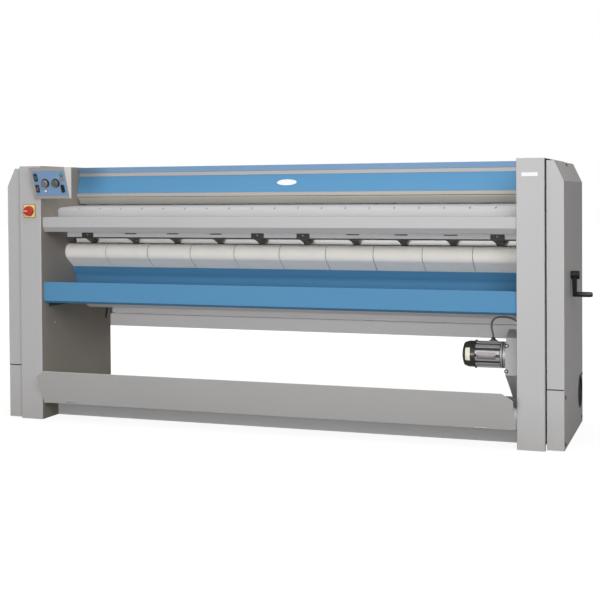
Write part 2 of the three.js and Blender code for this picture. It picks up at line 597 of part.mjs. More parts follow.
// Finger guard: it hangs by two end pins under its hinge rail
const railTop = panelFootZ - seat;
const railFootZ = railTop - guard.railHeight + seat;
const railOutline = [[hood.panelFoot, railTop], [guard.railFoot, railFootZ],
  [guard.railFoot + guard.railDepth, railFootZ], [guard.railFoot + guard.railDepth, railTop]];
piece("guard_hinge_rail", alongX(railOutline, -spanX, spanX), finishes.lightGrey);
const guardFootY = guard.footY - guard.hingeY;
const guardFootZ = table.top + guard.tableGap - hingeZ;
const guardAngle = Math.atan2(guardFootZ, guardFootY);
const guardLength = Math.hypot(guardFootZ, guardFootY);
const guardArc = Array.from({ length: smallSteps / 2 + 1 }, (_, i) => {
  const angle = guardAngle + Math.PI / 2 + (i * Math.PI) / (smallSteps / 2);
  return [guard.knuckle * Math.cos(angle), guard.knuckle * Math.sin(angle)];
});
const guardPoint = (along, aside) => [
  along * Math.cos(guardAngle) - aside * Math.sin(guardAngle),
  along * Math.sin(guardAngle) + aside * Math.cos(guardAngle)];
const guardOutline = [...guardArc, guardPoint(guardLength, -guard.knuckle),
  guardPoint(guardLength, guard.plate - guard.knuckle),
  guardPoint(guard.knuckle * 2, guard.plate - guard.knuckle), guardPoint(guard.knuckle, guard.knuckle)];
const guardX = innerX - guard.sideGap;
const guardPin = rodX(guard.pin, guardX - over, wallBackX + guard.pin, 0, 0, smallSteps);
placed(piece("finger_guard", join(alongX(guardOutline, -guardX, guardX), guardPin, mirrored(guardPin)),
  finishes.lightGrey), 0, guard.hingeY, hingeZ);

// Feed table: front rail with its shelf, and the slotted top that stands on the shelf
const shelfBack = beam.front + beam.depth;
const railPath = [[table.returnY, table.top - table.returnDrop],
  [table.railFront, table.top - table.railDrop], [table.railFront, table.shelf], [shelfBack, table.shelf]];
piece("feed_rail", alongX(folded(railPath, -table.sheet), -spanX, spanX), finishes.lightGrey);
const riserFoot = table.shelf + seat;
const tableFront = table.riser + table.chamfer;
const tableBackZ = table.top + table.rise;
const topPath = [[table.riser, riserFoot], [table.riser, table.top - table.chamferDrop],
  [tableFront, table.top], [table.back, tableBackZ], [table.back, tableBackZ - table.backFlange]];
const slotPitch = wallSpan / (table.slots + 1);
const slotPlaces = Array.from({ length: table.slots }, (_, i) => (i - (table.slots - 1) / 2) * slotPitch);
const slotMiddle = table.riser + table.chamfer / 2;
const tableSlots = slotPlaces.map((x) => block(x - table.slotWidth / 2, x + table.slotWidth / 2,
  slotMiddle - table.slotLength / 2, slotMiddle + table.slotLength / 2,
  table.top - table.chamferDrop - over, table.top + over));
const ribTop = (y) => table.top - table.sheet / 2
  + (table.rise * (y - tableFront)) / (table.back - tableFront);
const ribFront = tableFront + table.ribInset;
const ribBack = table.back - table.sheet - table.ribInset;
const ribOutline = [[ribFront, riserFoot], [shelfBack, riserFoot],
  [ribBack, ribTop(ribBack) - table.ribNose], [ribBack, ribTop(ribBack)], [ribFront, ribTop(ribFront)]];
const ribs = Array.from({ length: table.ribs }, (_, i) => {
  const x = ((i + 0.5) / table.ribs - 0.5) * wallSpan;
  return alongX(ribOutline, x + table.ribSheet, x + table.ribSheet * 2);
});
const tableTop = cut(alongX(folded(topPath, -table.sheet), -spanX, spanX), join(...tableSlots));
piece("feed_table_top", join(tableTop, ...ribs), finishes.lightGrey);

// Beam under the table, with a slot above each plain comb bracket
const shelfUnder = table.shelf - table.sheet - seat;
const beamOut = rectangle(beam.front, shelfBack, beam.bottom, shelfUnder);
const beamIn = rectangle(beam.front + beam.wall, shelfBack - beam.wall, beam.bottom + beam.wall,
  shelfUnder - beam.wall);
const beltPitch = wallSpan / belt.count;
const beltMiddles = Array.from({ length: comb.count }, (_, i) =>
  ((i + 0.5) / comb.count - 0.5) * wallSpan);
const heldShares = [0.051, 0.449, 0.549, 0.947];
const heldPlaces = heldShares.map((share) => (share - 0.5) * wallSpan);
const isHeld = (x) => heldPlaces.some((place) => Math.abs(place - x) < beltPitch / 4);
const freePlaces = beltMiddles.filter((x) => !isHeld(x)).map((x) => x + comb.freeAside);
const bracketPlaces = [...freePlaces, ...heldPlaces];
const beamSlots = freePlaces.map((x) => block(
  x - beam.slotLength / 2, x + beam.slotLength / 2, beam.front - over, beam.front + beam.wall * 2,
  beam.bottom + beam.slotLift, beam.bottom + beam.slotLift + beam.slotHeight));
piece("table_beam", cut(alongX(beamOut, -spanX, spanX, [beamIn]), join(...beamSlots)), finishes.lightGrey);

// Scraper comb: sloping brackets with drawn-in sides on a thin bar close to the cylinder, four of them
// bolted by a plate on the front of the beam
const combTop = beam.bottom - seat;
const combDrop = combTop - comb.tipZ;
const combRun = comb.tipY - comb.topY;
const combLength = Math.hypot(combDrop, combRun);
const combLean = Math.atan2(combRun, combDrop);
const bracketSide = Array.from({ length: comb.steps + 1 }, (_, i) => {
  const share = i / comb.steps;
  const half = comb.footWidth / 2 + ((comb.topWidth - comb.footWidth) / 2) * (1 - share) ** 3;
  return [half, -combLength * share];
});
const bracketOutline = [...bracketSide, ...bracketSide.map(([x, z]) => [-x, z]).reverse()];
const tab = block(-comb.topWidth / 2, comb.topWidth / 2, comb.topY, comb.tipY - over,
  combTop - comb.sheet, combTop);
const bracket = join(tab, alongY(bracketOutline, 0, comb.sheet).rotateX(combLean)
  .translate(0, comb.topY, combTop - comb.sheet / 2));
const combStrip = block(-spanX, spanX, beam.front, comb.topY + over, combTop - comb.strip, combTop);
const combTrim = block(-wallSpan, wallSpan, comb.topY - over, comb.tipY + over, combTop, combTop + over);
const combBar = block(-spanX, spanX, comb.tipY - comb.bar / 2, comb.tipY + comb.bar / 2,
  comb.tipZ - comb.bar, comb.tipZ);
const plateFront = beam.front - seat - comb.plateSheet;
const holderPlate = join(
  block(-comb.plateWidth / 2, comb.plateWidth / 2, plateFront, beam.front - seat, combTop - comb.sheet,
    beam.bottom + comb.plateTop),
  block(-comb.plateWidth / 2, comb.plateWidth / 2, plateFront, comb.topY + over, combTop - comb.sheet,
    combTop),
);
piece("scraper_comb", join(
  cut(join(combBar, combStrip, ...bracketPlaces.map((x) => bracket.clone().translate(x, 0, 0))), combTrim),
  ...heldPlaces.map((x) => holderPlate.clone().translate(x, 0, 0)),
), finishes.darkGrey);

// Heated cylinder: a polished shell with two welded ends on hollow journals, and its sprocket
const cylinderEndX = innerX - cylinder.sideGap;
const shellBore = cylinder.radius - cylinder.wall;
const shell = turned([[-cylinderEndX, shellBore], [-cylinderEndX, cylinder.radius],
  [cylinderEndX, cylinder.radius], [cylinderEndX, shellBore], [-cylinderEndX, shellBore]]);
const chainDisc = (plane, radius, y, z) => rodX(radius, plane - chain.disc / 2, plane + chain.disc / 2, y, z);
const cylinderEnd = () => {
  const discFront = cylinderEndX - cylinder.end;
  const journalOut = cylinderEndX + cylinder.journalReach;
  const discRadius = shellBore + cylinder.wall / 2;
  const weldX = cylinderEndX - cylinder.end / 4;
  return turned([[discFront, cylinder.journalBore], [discFront, discRadius], [weldX, discRadius],
    [weldX, cylinder.journal], [journalOut, cylinder.journal],
    [journalOut, cylinder.journalBore], [discFront, cylinder.journalBore]]);
};
const sprocketBore = (cylinder.journal + cylinder.journalBore) / 2;
const sprocketStart = chain.plane - chain.disc / 2;
const sprocketEnd = chain.plane + chain.disc / 2;
const sprocketRing = turned([[sprocketStart, sprocketBore], [sprocketStart, chain.drivenRadius],
  [sprocketEnd, chain.drivenRadius], [sprocketEnd, sprocketBore], [sprocketStart, sprocketBore]]);
placed(piece("heated_cylinder", join(shell, cylinderEnd(), mirrored(cylinderEnd()), sprocketRing),
  finishes.polished), 0, cylinder.y, cylinder.z);

// Heater: six rods on discs round a fixed centre pipe, held by a bracket behind each wall
const holderOutX = wallBackX + pipeHolder.gap + pipeHolder.sheet / 2;
const pipeEndX = holderOutX + pipeHolder.sheet;
const discSpots = Array.from({ length: heater.discs }, (_, i) =>
  ((i + 0.5) / heater.discs - 0.5) * cylinderEndX * 2);
const rodReach = cylinderEndX - cylinder.end - over;
const heaterRods = Array.from({ length: heater.rods }, (_, i) => {
  const angle = (i / heater.rods) * Math.PI * 2;
  return rodX(heater.rod, -rodReach, rodReach, heater.circle * Math.cos(angle),
    heater.circle * Math.sin(angle), hexSides);
});
const holderFoot = wallBackX + seat;
const holderPath = [[holderOutX, -heater.pipe - pipeHolder.sheet], [holderOutX, pipeHolder.rise],
  [holderFoot, pipeHolder.rise]];
const holderLeg = alongY(folded(holderPath, pipeHolder.sheet), -pipeHolder.width / 2, pipeHolder.width / 2);
const wallTab = block(holderFoot, holderFoot + pipeHolder.sheet, -pipeHolder.width / 2, pipeHolder.width / 2,
  pipeHolder.rise - pipeHolder.sheet, pipeHolder.rise + pipeHolder.foot);
const pipeSupport = join(holderLeg, wallTab);
placed(piece("heater_bundle", cut(join(
  rodX(heater.pipe, -pipeEndX, pipeEndX, 0, 0, smallSteps),
  ...discSpots.map((x) =>
    rodX(heater.disc, x - heater.discSheet / 2, x + heater.discSheet / 2, 0, 0, rollerSteps)),
  ...heaterRods,
  pipeSupport,
  mirrored(pipeSupport),
), rodX(heater.pipeBore, -pipeEndX - over, pipeEndX + over, 0, 0, smallSteps)), finishes.steel),
0, cylinder.y, cylinder.z);

// Bearings of the heated cylinder on the outer side of both inner walls
const bearingStart = wallBackX + seat;
const bearingEnd = bearingStart + cylinder.bearingWidth;
const bearingBore = cylinder.journal + running;
const cylinderBearing = turned([[bearingStart, bearingBore], [bearingStart, cylinder.bearing],
  [bearingEnd, cylinder.bearing], [bearingEnd, bearingBore], [bearingStart, bearingBore]]);
placed(piece("cylinder_bearing_right", cylinderBearing, finishes.castGrey), 0, cylinder.y, cylinder.z);
placed(piece("cylinder_bearing_left", mirrored(cylinderBearing), finishes.castGrey),
  0, cylinder.y, cylinder.z);

// Rollers that carry the belts
const rollerEndX = innerX - roller.sideGap;
const journalEndX = innerX + roller.reach;
const rollerSolid = (radius) => turned([[-journalEndX, 0], [-journalEndX, roller.journal],
  [-rollerEndX, roller.journal], [-rollerEndX, radius], [rollerEndX, radius],
  [rollerEndX, roller.journal], [journalEndX, roller.journal], [journalEndX, 0]], rollerSteps);
const rollerNames = ["nose_roller", "lower_rear_roller", "upper_rear_roller", "feed_roller"];
rollers.forEach(({ y, z, radius }, i) => {
  placed(piece(rollerNames[i], rollerSolid(radius), finishes.steel), 0, y, z);
});

// Ironing belts side by side, round the rollers and against the cylinder
const beltWheels = [
  ...rollers.map(({ y, z, radius }) => ({ y, z, radius: radius + beltRun, turn: 1 })),
  { y: cylinder.y, z: cylinder.z, radius: cylinder.radius + beltRun, turn: -1 },
];
const ironingBelts = Array.from({ length: belt.count }, (_, i) => {
  const start = (i / belt.count - 0.5) * wallSpan;
  return loop(beltWheels, belt.thickness, start + belt.gap / 2, start + beltPitch - belt.gap / 2);
});
const linkZ = THREE.MathUtils.lerp(lowerRear.z, upperRear.z, belt.linkShare);
const linkY = THREE.MathUtils.lerp(lowerRear.y + lowerRear.radius, upperRear.y + upperRear.radius,
  belt.linkShare) + beltRun;
const beltLinks = block(-(wallSpan - beltPitch) / 2, (wallSpan - beltPitch) / 2, linkY - belt.thickness / 4,
  linkY + belt.thickness / 4, linkZ - belt.linkHeight / 2, linkZ + belt.linkHeight / 2);
piece("ironing_belts", join(...ironingBelts, beltLinks), finishes.belting);

// Receiving trough, its end brackets and the lower shield
const troughPath = [[trough.front, trough.flangeTop], [trough.front, trough.flangeFoot],
  [trough.foldY, 0], [trough.floorBack, 0], [trough.back, trough.backFoot],
  [trough.back, trough.bendLift], [trough.leanY, trough.leanLift], [trough.topY, trough.topLift],
].map(([y, lift]) => [y, trough.floor + lift]);
piece("receiving_trough", alongX(folded(troughPath, trough.sheet), -spanX, spanX), finishes.troughBlue);
const troughEnd = wallAngle(troughBracket, spanX, trough.floor - seat, troughBracket.front,
  troughBracket.front + troughBracket.depth);
piece("trough_bracket_right", troughEnd, finishes.green);
piece("trough_bracket_left", mirrored(troughEnd), finishes.green);
const shieldY = trough.back + seat;
const shieldPath = [[shieldY, shield.topLift], [shieldY, shield.foldLift], [shield.dipY, -shield.dipDrop],
  [frameDepth, -shield.backDrop], [frameDepth, shield.backFlange - shield.backDrop],
].map(([y, lift]) => [y, trough.floor + lift]);
piece("lower_shield", alongX(folded(shieldPath, shield.sheet), -spanX, spanX), finishes.lightGrey);

// Linen tray: a sloping front with cut corners and two slots at its fold, a floor and a low back
const trayFloor = crossbar.top + seat;
const trayX = innerX - tray.sideGap;
const trayPath = [[tray.topY, tray.topZ], [tray.foldY, trayFloor], [trayBack, trayFloor],
  [trayBack + tray.backLean, trayFloor + tray.backHeight]];
const cornerX = trayX - tray.cornerWidth;
const trayCorner = alongY([
  [cornerX - tray.cornerWidth, tray.topZ + tray.cornerHeight],
  [trayX + tray.cornerWidth, tray.topZ + tray.cornerHeight],
  [trayX + tray.cornerWidth, tray.topZ - tray.cornerHeight * 2],
], tray.topY - over, tray.foldY - over);
const slotFoot = trayFloor + tray.sheet + tray.slotLift;
const traySlotX = innerX - tray.slotInset;
const traySlot = block(traySlotX - tray.slotLength / 2, traySlotX + tray.slotLength / 2,
  tray.foldY - over, tray.foldY + over, slotFoot, slotFoot + tray.slotHeight);
piece("linen_tray", cut(alongX(folded(trayPath, tray.sheet), -trayX, trayX),
  trayCorner, mirrored(trayCorner), traySlot, mirrored(traySlot)), finishes.lightGrey);

// Drive housing on the right inner wall, with the gear unit inside
const inset = (points, distance) =>
  offsetPath([points.at(-1), ...points, points[0]], distance).slice(1, -1);
const housingOutline = [housing.top, housing.browFront, housing.crease, housing.chinFront, housing.chin,
  housing.bottomFront, housing.bottomBack, housing.back, housing.topBack,
].map(([y, lift]) => [y, housing.bottom + lift]);
piece("drive_housing", cut(
  alongX(housingOutline, housingX, spanX),
  alongX(inset(housingOutline, housing.sheet), housingX + housing.sheet, spanX + over),
  rodX(motor.shaft + running, housingX - over, housingX + over, motor.y, motor.z, smallSteps),
), finishes.lightGrey);
const gearFoot = housing.bottom + gearUnit.lift;
const gearBox = rectangle(gearUnit.y, gearUnit.y + gearUnit.depth, gearFoot, gearFoot + gearUnit.height);
const gearStartX = housingX + housing.sheet + gearUnit.front;
piece("gear_unit", alongX(gearBox, gearStartX, spanX, [
  circle(motor.y, motor.z, motor.shaft + running, smallSteps),
  circle(output.y, output.z, output.shaft + running, smallSteps),
]), finishes.castGrey);

// Drive motor: a finned body with a terminal boss and a round flange
const finStep = (Math.PI * 2) / motor.fins;
const finOutline = Array.from({ length: motor.fins }, (_, i) => {
  const half = (finStep * motor.finShare) / 2;
  const at = (radius, angle) => [radius * Math.cos(angle), radius * Math.sin(angle)];
  const middle = (i + 0.5) * finStep;
  return [at(motor.core, middle - half), at(motor.finReach, middle - half), at(motor.finReach, middle + half),
    at(motor.core, middle + half)];
}).flat();
const motorCore = motor.core - motor.shaft;
const motorBody = cut(join(
  alongX(finOutline, motorStartX, motorEndX),
  rodX(motor.flange, motorEndX, motorEndX + motor.flangeWidth, 0, 0),
  rodX(motorCore, motorStartX + motor.shaft, motorEndX + motor.flangeWidth / 2, 0, 0),
  block(glandX - motor.bossLength / 2, glandX + motor.bossLength / 2, -motor.bossWidth / 2,
    motor.bossWidth / 2, motorCore, motor.bossHeight),
), rodX(motor.shaft + running, motorStartX - over, motorEndX + motor.flangeWidth + over, 0, 0, smallSteps));
placed(piece("drive_motor", motorBody, finishes.aluminium), 0, motor.y, motor.z);

// Fan cowl with vent holes, and the fan on the motor shaft
const cowlStartX = motorStartX - seat - cowl.length;
const cowlEndX = motorStartX - seat;
const cowlPath = [[cowlStartX, 0], [cowlStartX, cowl.nose], [cowlEndX - cowl.shoulderRun, cowl.shoulder],
  [cowlEndX - cowl.straight, cowl.radius], [cowlEndX - cowl.ridgeWidth, cowl.radius],
  [cowlEndX - cowl.ridgeWidth, cowl.ridge], [cowlEndX, cowl.ridge]];
const cowlShell = turned([...cowlPath, ...offsetPath(cowlPath, -cowl.wall).reverse()]);
const cowlVents = Array.from({ length: cowl.vents }, (_, i) => {
  const angle = (i / cowl.vents) * Math.PI * 2;
  return rodX(cowl.ventRadius, cowlStartX - over, cowlStartX + over, cowl.ventCircle * Math.cos(angle),
    cowl.ventCircle * Math.sin(angle), hexSides);
});
placed(piece("fan_cowl", cut(cowlShell, ...cowlVents), finishes.black), 0, motor.y, motor.z);
const fanStartX = cowlStartX + cowl.wall + fan.endGap;
const fanBlades = Array.from({ length: fan.blades }, (_, i) =>
  block(fanStartX, fanStartX + fan.bladeWidth, -fan.bladeSheet / 2, fan.bladeSheet / 2, 0, fan.blade)
    .rotateX((i / fan.blades) * Math.PI * 2));
placed(piece("motor_fan", join(
  rodX(motor.shaft, fanStartX, spanX - gearUnit.front, 0, 0, smallSteps),
  rodX(fan.hub, fanStartX, fanStartX + fan.bladeWidth, 0, 0, smallSteps),
  ...fanBlades,
), finishes.aluminium), 0, motor.y, motor.z);

// Cable gland on the motor, grommet in the wall, and the lead between them
const glandFoot = bossTopZ + seat;
piece("cable_gland", join(
  rodZ(gland.nut, glandFoot, glandFoot + gland.nutHeight, glandX, motor.y, hexSides),
  rodZ(gland.cap, glandFoot, glandFoot + gland.nutHeight + gland.height, glandX, motor.y, smallSteps),
), finishes.black);
piece("lead_grommet", join(
  rodX(grommet.flange, spanX - grommet.reach, spanX, motor.y, grommet.z, smallSteps),
  rodX(grommet.neck, spanX - grommet.reach / 2, wallBackX + grommet.neckReach, motor.y, grommet.z,
    smallSteps),
), finishes.rubber);
const leadCurve = new THREE.CatmullRomCurve3(leadPoints.map((point) => new THREE.Vector3(...point)));
piece("motor_lead", new THREE.ExtrudeGeometry(
  outlineShape(circle(0, 0, lead.diameter / 2, lead.sides), []),
  { steps: lead.steps, extrudePath: leadCurve },
), finishes.leadGrey);

// Output shaft with its two sprockets, and the chains to the cylinder and to the hand crank
const outputEndX = chain.handPlane + chain.disc / 2;
piece("drive_sprocket", join(
  rodX(output.shaft, gearStartX + gearUnit.front, outputEndX, output.y, output.z, smallSteps),
  chainDisc(chain.plane, chain.driverRadius, output.y, output.z),
  chainDisc(chain.handPlane, chain.handRadius, output.y, output.z),
), finishes.steel);
const chainWheel = (radius, { y, z }) =>
  ({ y, z, radius: radius + chain.clear + chain.thickness / 2, turn: 1 });
const chainLoop = (plane, wheels) =>
  loop(wheels, chain.thickness, plane - chain.width / 2, plane + chain.width / 2);
piece("drive_chain", chainLoop(chain.plane,
  [chainWheel(chain.driverRadius, output), chainWheel(chain.drivenRadius, cylinder)]), finishes.black);
piece("hand_chain", chainLoop(chain.handPlane,
  [chainWheel(chain.handRadius, output), chainWheel(chain.handRadius, crank)]), finishes.black);

// Hand crank with its sprocket inside and its turning grip outside
const hubStartX = coverOutX + crank.hubStart;
const armStartX = hubStartX + crank.armInset;
const armEndX = armStartX + crank.armSheet;
const armSteps = smallSteps / 2;
const armEnd = (radius, middle, from) => Array.from({ length: armSteps + 1 }, (_, i) => {
  const angle = from + (i / armSteps) * Math.PI;
  return [radius * Math.cos(angle), middle + radius * Math.sin(angle)];
});
const armOutline = [...armEnd(crank.armTop, 0, 0), ...armEnd(crank.armFoot, -crank.armLength, Math.PI)];
placed(piece("hand_crank", join(
  rodX(crank.shaft, wallBackX + crank.hubStart, hubStartX + crank.hubWidth, 0, 0, smallSteps),
  rodX(crank.hubRadius, hubStartX, hubStartX + crank.hubWidth, 0, 0),
  chainDisc(chain.handPlane, chain.handRadius, 0, 0),
  alongX(armOutline, armStartX, armEndX),
  rodX(crank.pin, armStartX, crankOutX - crank.gripEnd - running, 0, -crank.armLength, smallSteps),
), finishes.black), 0, crank.y, crank.z);
const gripBore = crank.pin + running;
placed(piece("crank_grip", turned([[crankOutX - crank.gripEnd, 0], [crankOutX - crank.gripEnd, gripBore],
  [armEndX + seat, gripBore], [armEndX + seat, crank.grip], [crankOutX, crank.grip], [crankOutX, 0]]),
finishes.black), 0, crank.y, crank.z - crank.armLength);

// Control box: a folded box with a sloping face, held by a flange on the left inner wall
const boxBack = -seat;
const boxLeft = -innerX - box.outward;
const boxRight = box.inward - innerX;
const boxTop = height - box.topDrop;
const boxFoot = boxTop - box.rise;
const boxOutline = [[boxBack, boxFoot], [boxBack, boxTop], [box.topFront, boxTop], [box.footFront, boxFoot]];
const panelTilt = Math.atan2(box.footFront - box.topFront, box.rise);
const panelMiddle = [(boxLeft + boxRight) / 2, (box.topFront + box.footFront) / 2, (boxTop + boxFoot) / 2];
const onPanel = (geometry) => geometry.rotateX(panelTilt).translate(...panelMiddle);
const panelCircles = [
  ...knob.x.map((x) => [x, knob.up, knob.shaft + running]),
  [button.x, button.up, button.radius + running],
  ...lamp.places.map(([x, up]) => [x, up, lamp.shaft + seat]),
];
const panelWindows = [
  ...panelCircles.map(([x, up, radius]) => circle(x, up, radius, smallSteps)),
  ...rocker.places.map(([x, up]) => rectangle(x - rocker.width / 2 - running,
    x + rocker.width / 2 + running, up - rocker.length / 2 - running, up + rocker.length / 2 + running)),
];
const panelCuts = panelWindows.map((outline) => alongY(outline, -over, over));
const boxFlange = block(-spanX, -spanX + box.sheet, boxBack - box.sheet / 2, box.plateReach,
  boxFoot + box.plateInset, boxTop - box.plateInset);
piece("control_box", join(cut(
  alongX(boxOutline, boxLeft, boxRight),
  alongX(inset(boxOutline, box.sheet), boxLeft + box.sheet, boxRight - box.sheet),
  ...panelCuts.map((tool) => onPanel(tool.clone())),
), boxFlange), finishes.lightGrey);

// Blue fascia on the sloping face, and the controls in it
const panel = new THREE.Group();
panel.position.set(...panelMiddle);
panel.rotation.x = panelTilt;
ironer.add(panel);
const fasciaFace = -seat - fascia.sheet;
const controlFoot = fasciaFace - seat;
piece("control_fascia", cut(
  block(fascia.left, fascia.right, fasciaFace, -seat, fascia.foot, fascia.top), ...panelCuts,
), finishes.blue, panel);
const knobSolid = () => join(
  rodY(knob.shaft, controlFoot - knob.skirtHeight, knob.reach, 0, 0, smallSteps),
  rodY(knob.skirt, controlFoot - knob.skirtHeight, controlFoot, 0, 0),
  rodY(knob.grip, controlFoot - knob.height, controlFoot - knob.skirtHeight / 2, 0, 0),
  block(-knob.shaft / 2, knob.shaft / 2, controlFoot - knob.height, controlFoot - knob.skirtHeight / 2,
    0, knob.skirt - knob.shaft / 2),
);
const knobNames = ["knob_left", "knob_right"];
knob.x.forEach((x, i) => placed(piece(knobNames[i], knobSolid(), finishes.black, panel), x, 0, knob.up));
const rockerHalf = rocker.length / 2;
const rockerOutline = [[-rocker.proud, -rockerHalf], [rocker.dip - rocker.proud, 0],
  [-rocker.proud, rockerHalf], [0, rockerHalf], [rocker.depth, rockerHalf * rocker.footShare],
  [rocker.depth, -rockerHalf * rocker.footShare], [0, -rockerHalf]];
const rockers = [["rocker_green", finishes.lampGreen], ["rocker_red", finishes.signalRed],
  ["rocker_black", finishes.black]];
rockers.forEach(([name, material], i) => {
  const [x, up] = rocker.places[i];
  const solid = alongX(rockerOutline, -rocker.width / 2, rocker.width / 2);
  placed(piece(name, solid, material, panel), x, 0, up);
});
placed(piece("push_button", rodY(button.radius, fasciaFace - button.proud, button.reach, 0, 0, smallSteps),
  finishes.white, panel), button.x, 0, button.up);
const lampSolids = lamp.places.map(([x, up]) => join(
  rodY(lamp.radius, controlFoot - lamp.dome, controlFoot, x, up, smallSteps),
  rodY(lamp.shaft, controlFoot - lamp.dome / 2, lamp.reach + lamp.base / 2, x, up, smallSteps),
));
const lampX = lamp.places.map(([x]) => x);
const lampUp = lamp.places.map(([, up]) => up);
const lampBase = block(Math.min(...lampX) - lamp.shaft, Math.max(...lampX) + lamp.shaft, lamp.reach,
  lamp.reach + lamp.base, Math.min(...lampUp) - lamp.shaft, Math.max(...lampUp) + lamp.shaft);
piece("indicator_lamps", join(...lampSolids, lampBase), finishes.lampOrange, panel);

// Main switch: a yellow plate on the left column, its body behind, and the red handle
const plateHalf = mainSwitch.plateWidth / 2;
const plateRise = mainSwitch.plateHeight / 2;
const plateFace = -seat - mainSwitch.plateSheet;
const switchBodyY = frame.sheet + seat;
const bodyHalf = plateHalf - mainSwitch.bodyInset;
const switchBodyEnd = switchBodyY + mainSwitch.bodyDepth;
placed(piece("main_switch", cut(join(
  block(-plateHalf, plateHalf, plateFace, -seat, -plateRise, plateRise),
  rodY(mainSwitch.neck, plateFace / 2, switchBodyY + seat, 0, 0),
  block(-bodyHalf, bodyHalf, switchBodyY, switchBodyEnd, -bodyHalf, bodyHalf),
), rodY(mainSwitch.shaft + running, plateFace - over, switchBodyEnd + over, 0, 0, smallSteps)),
finishes.signalYellow), mainSwitch.x, 0, mainSwitch.z);
const dialFoot = plateFace - seat;
const dialFace = dialFoot - mainSwitch.dialHeight;
const leverOutline = [[-mainSwitch.leverReach, -mainSwitch.leverTip / 2],
  [mainSwitch.dial, -mainSwitch.lever / 2], [mainSwitch.dial, mainSwitch.lever / 2],
  [-mainSwitch.leverReach, mainSwitch.leverTip / 2]];
placed(piece("main_switch_handle", join(
  rodY(mainSwitch.dial, dialFace, dialFoot, 0, 0),
  rodY(mainSwitch.shaft, dialFace, mainSwitch.shaftReach, 0, 0, smallSteps),
  alongY(leverOutline, dialFace - mainSwitch.leverHeight, dialFoot - seat),
), finishes.signalRed), mainSwitch.x, 0, mainSwitch.z);

// Switchgear behind the left inner wall
const gearPlateX = wallBackX + seat;
const gearPlateOut = gearPlateX + switchgear.sheet;
const blockSpots = (count, size, start, span) => Array.from({ length: count }, (_, i) =>
  start + span / 2 + (i - (count - 1) / 2) * (size + switchgear.gap));
const contactors = blockSpots(switchgear.rows, switchgear.blockHeight, switchgear.z, switchgear.height)
  .flatMap((z) => blockSpots(switchgear.blocks, switchgear.blockWidth, switchgear.y, switchgear.depth)
    .map((y) => block(gearPlateOut - switchgear.sheet / 2, gearPlateOut + switchgear.blockDepth,
      y - switchgear.blockWidth / 2, y + switchgear.blockWidth / 2,
      z - switchgear.blockHeight / 2, z + switchgear.blockHeight / 2)));
const gearPlate = block(gearPlateX, gearPlateOut, switchgear.y, switchgear.y + switchgear.depth,
  switchgear.z, switchgear.z + switchgear.height);
piece("switchgear", mirrored(join(gearPlate, ...contactors)), finishes.aluminium);

export default ironer;
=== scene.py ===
"""Rotary ironer: the looks of a free-standing flatwork ironer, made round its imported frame.

The sections follow the machine as it is put together. Lengths are metres in the frame's own
coordinates, with X to the right, Y to the back and Z up. Places measured on the machine are
millimetres, and at() turns them into points of the frame.
"""
import json
import math

import bmesh
import bpy
from mathutils import Matrix, Vector

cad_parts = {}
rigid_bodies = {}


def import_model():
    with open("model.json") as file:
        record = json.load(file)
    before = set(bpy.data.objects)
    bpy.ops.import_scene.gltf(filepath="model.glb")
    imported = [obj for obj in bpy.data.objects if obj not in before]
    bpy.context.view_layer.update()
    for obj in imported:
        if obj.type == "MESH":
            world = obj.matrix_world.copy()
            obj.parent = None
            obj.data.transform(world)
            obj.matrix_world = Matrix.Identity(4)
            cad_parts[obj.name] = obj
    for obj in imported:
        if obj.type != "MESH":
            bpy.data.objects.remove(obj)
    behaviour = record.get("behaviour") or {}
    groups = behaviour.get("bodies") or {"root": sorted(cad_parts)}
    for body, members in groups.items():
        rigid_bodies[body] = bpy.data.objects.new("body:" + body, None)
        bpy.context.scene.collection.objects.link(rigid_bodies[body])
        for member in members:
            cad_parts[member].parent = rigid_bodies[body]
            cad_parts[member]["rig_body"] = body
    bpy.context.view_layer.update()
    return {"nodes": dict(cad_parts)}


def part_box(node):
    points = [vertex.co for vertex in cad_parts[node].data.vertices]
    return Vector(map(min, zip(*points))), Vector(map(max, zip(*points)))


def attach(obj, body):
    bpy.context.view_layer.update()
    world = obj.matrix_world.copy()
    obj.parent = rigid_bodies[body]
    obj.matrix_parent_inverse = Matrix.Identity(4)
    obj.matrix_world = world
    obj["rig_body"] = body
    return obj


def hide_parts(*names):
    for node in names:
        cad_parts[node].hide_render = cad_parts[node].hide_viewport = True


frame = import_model()

# Camera: it stands in front of the right end, a little above the table, and looks to the left.
# The picture was cut off-centre, so the lens is shifted down.
eye = Vector((1.84315, -5.18020, 1.05300))
turn_left = math.radians(19.355)
tip_down = math.radians(1.046)
roll_right = math.radians(-0.382)
picture_side = 600
focal_pixels = 1183.18
axis_row = 217.03
sensor_width = 36.0
sight = Vector((-math.sin(turn_left) * math.cos(tip_down), math.cos(turn_left) * math.cos(tip_down),
                -math.sin(tip_down)))
level = Vector((math.cos(turn_left), math.sin(turn_left), 0))
rise = level.cross(sight)
across = level * math.cos(roll_right) + rise * math.sin(roll_right)
upward = rise * math.cos(roll_right) - level * math.sin(roll_right)
camera = bpy.data.objects.new("camera", bpy.data.cameras.new("camera"))
camera.data.sensor_width = sensor_width
camera.data.lens = focal_pixels * sensor_width / picture_side
camera.data.shift_y = (axis_row - picture_side / 2) / picture_side
camera.data.clip_end = 100
camera.matrix_world = Matrix.Translation(eye) @ Matrix((across, upward, -sight)).transposed().to_4x4()
bpy.context.scene.collection.objects.link(camera)
bpy.context.scene.camera = camera
bpy.context.scene.view_settings.view_transform = "Standard"


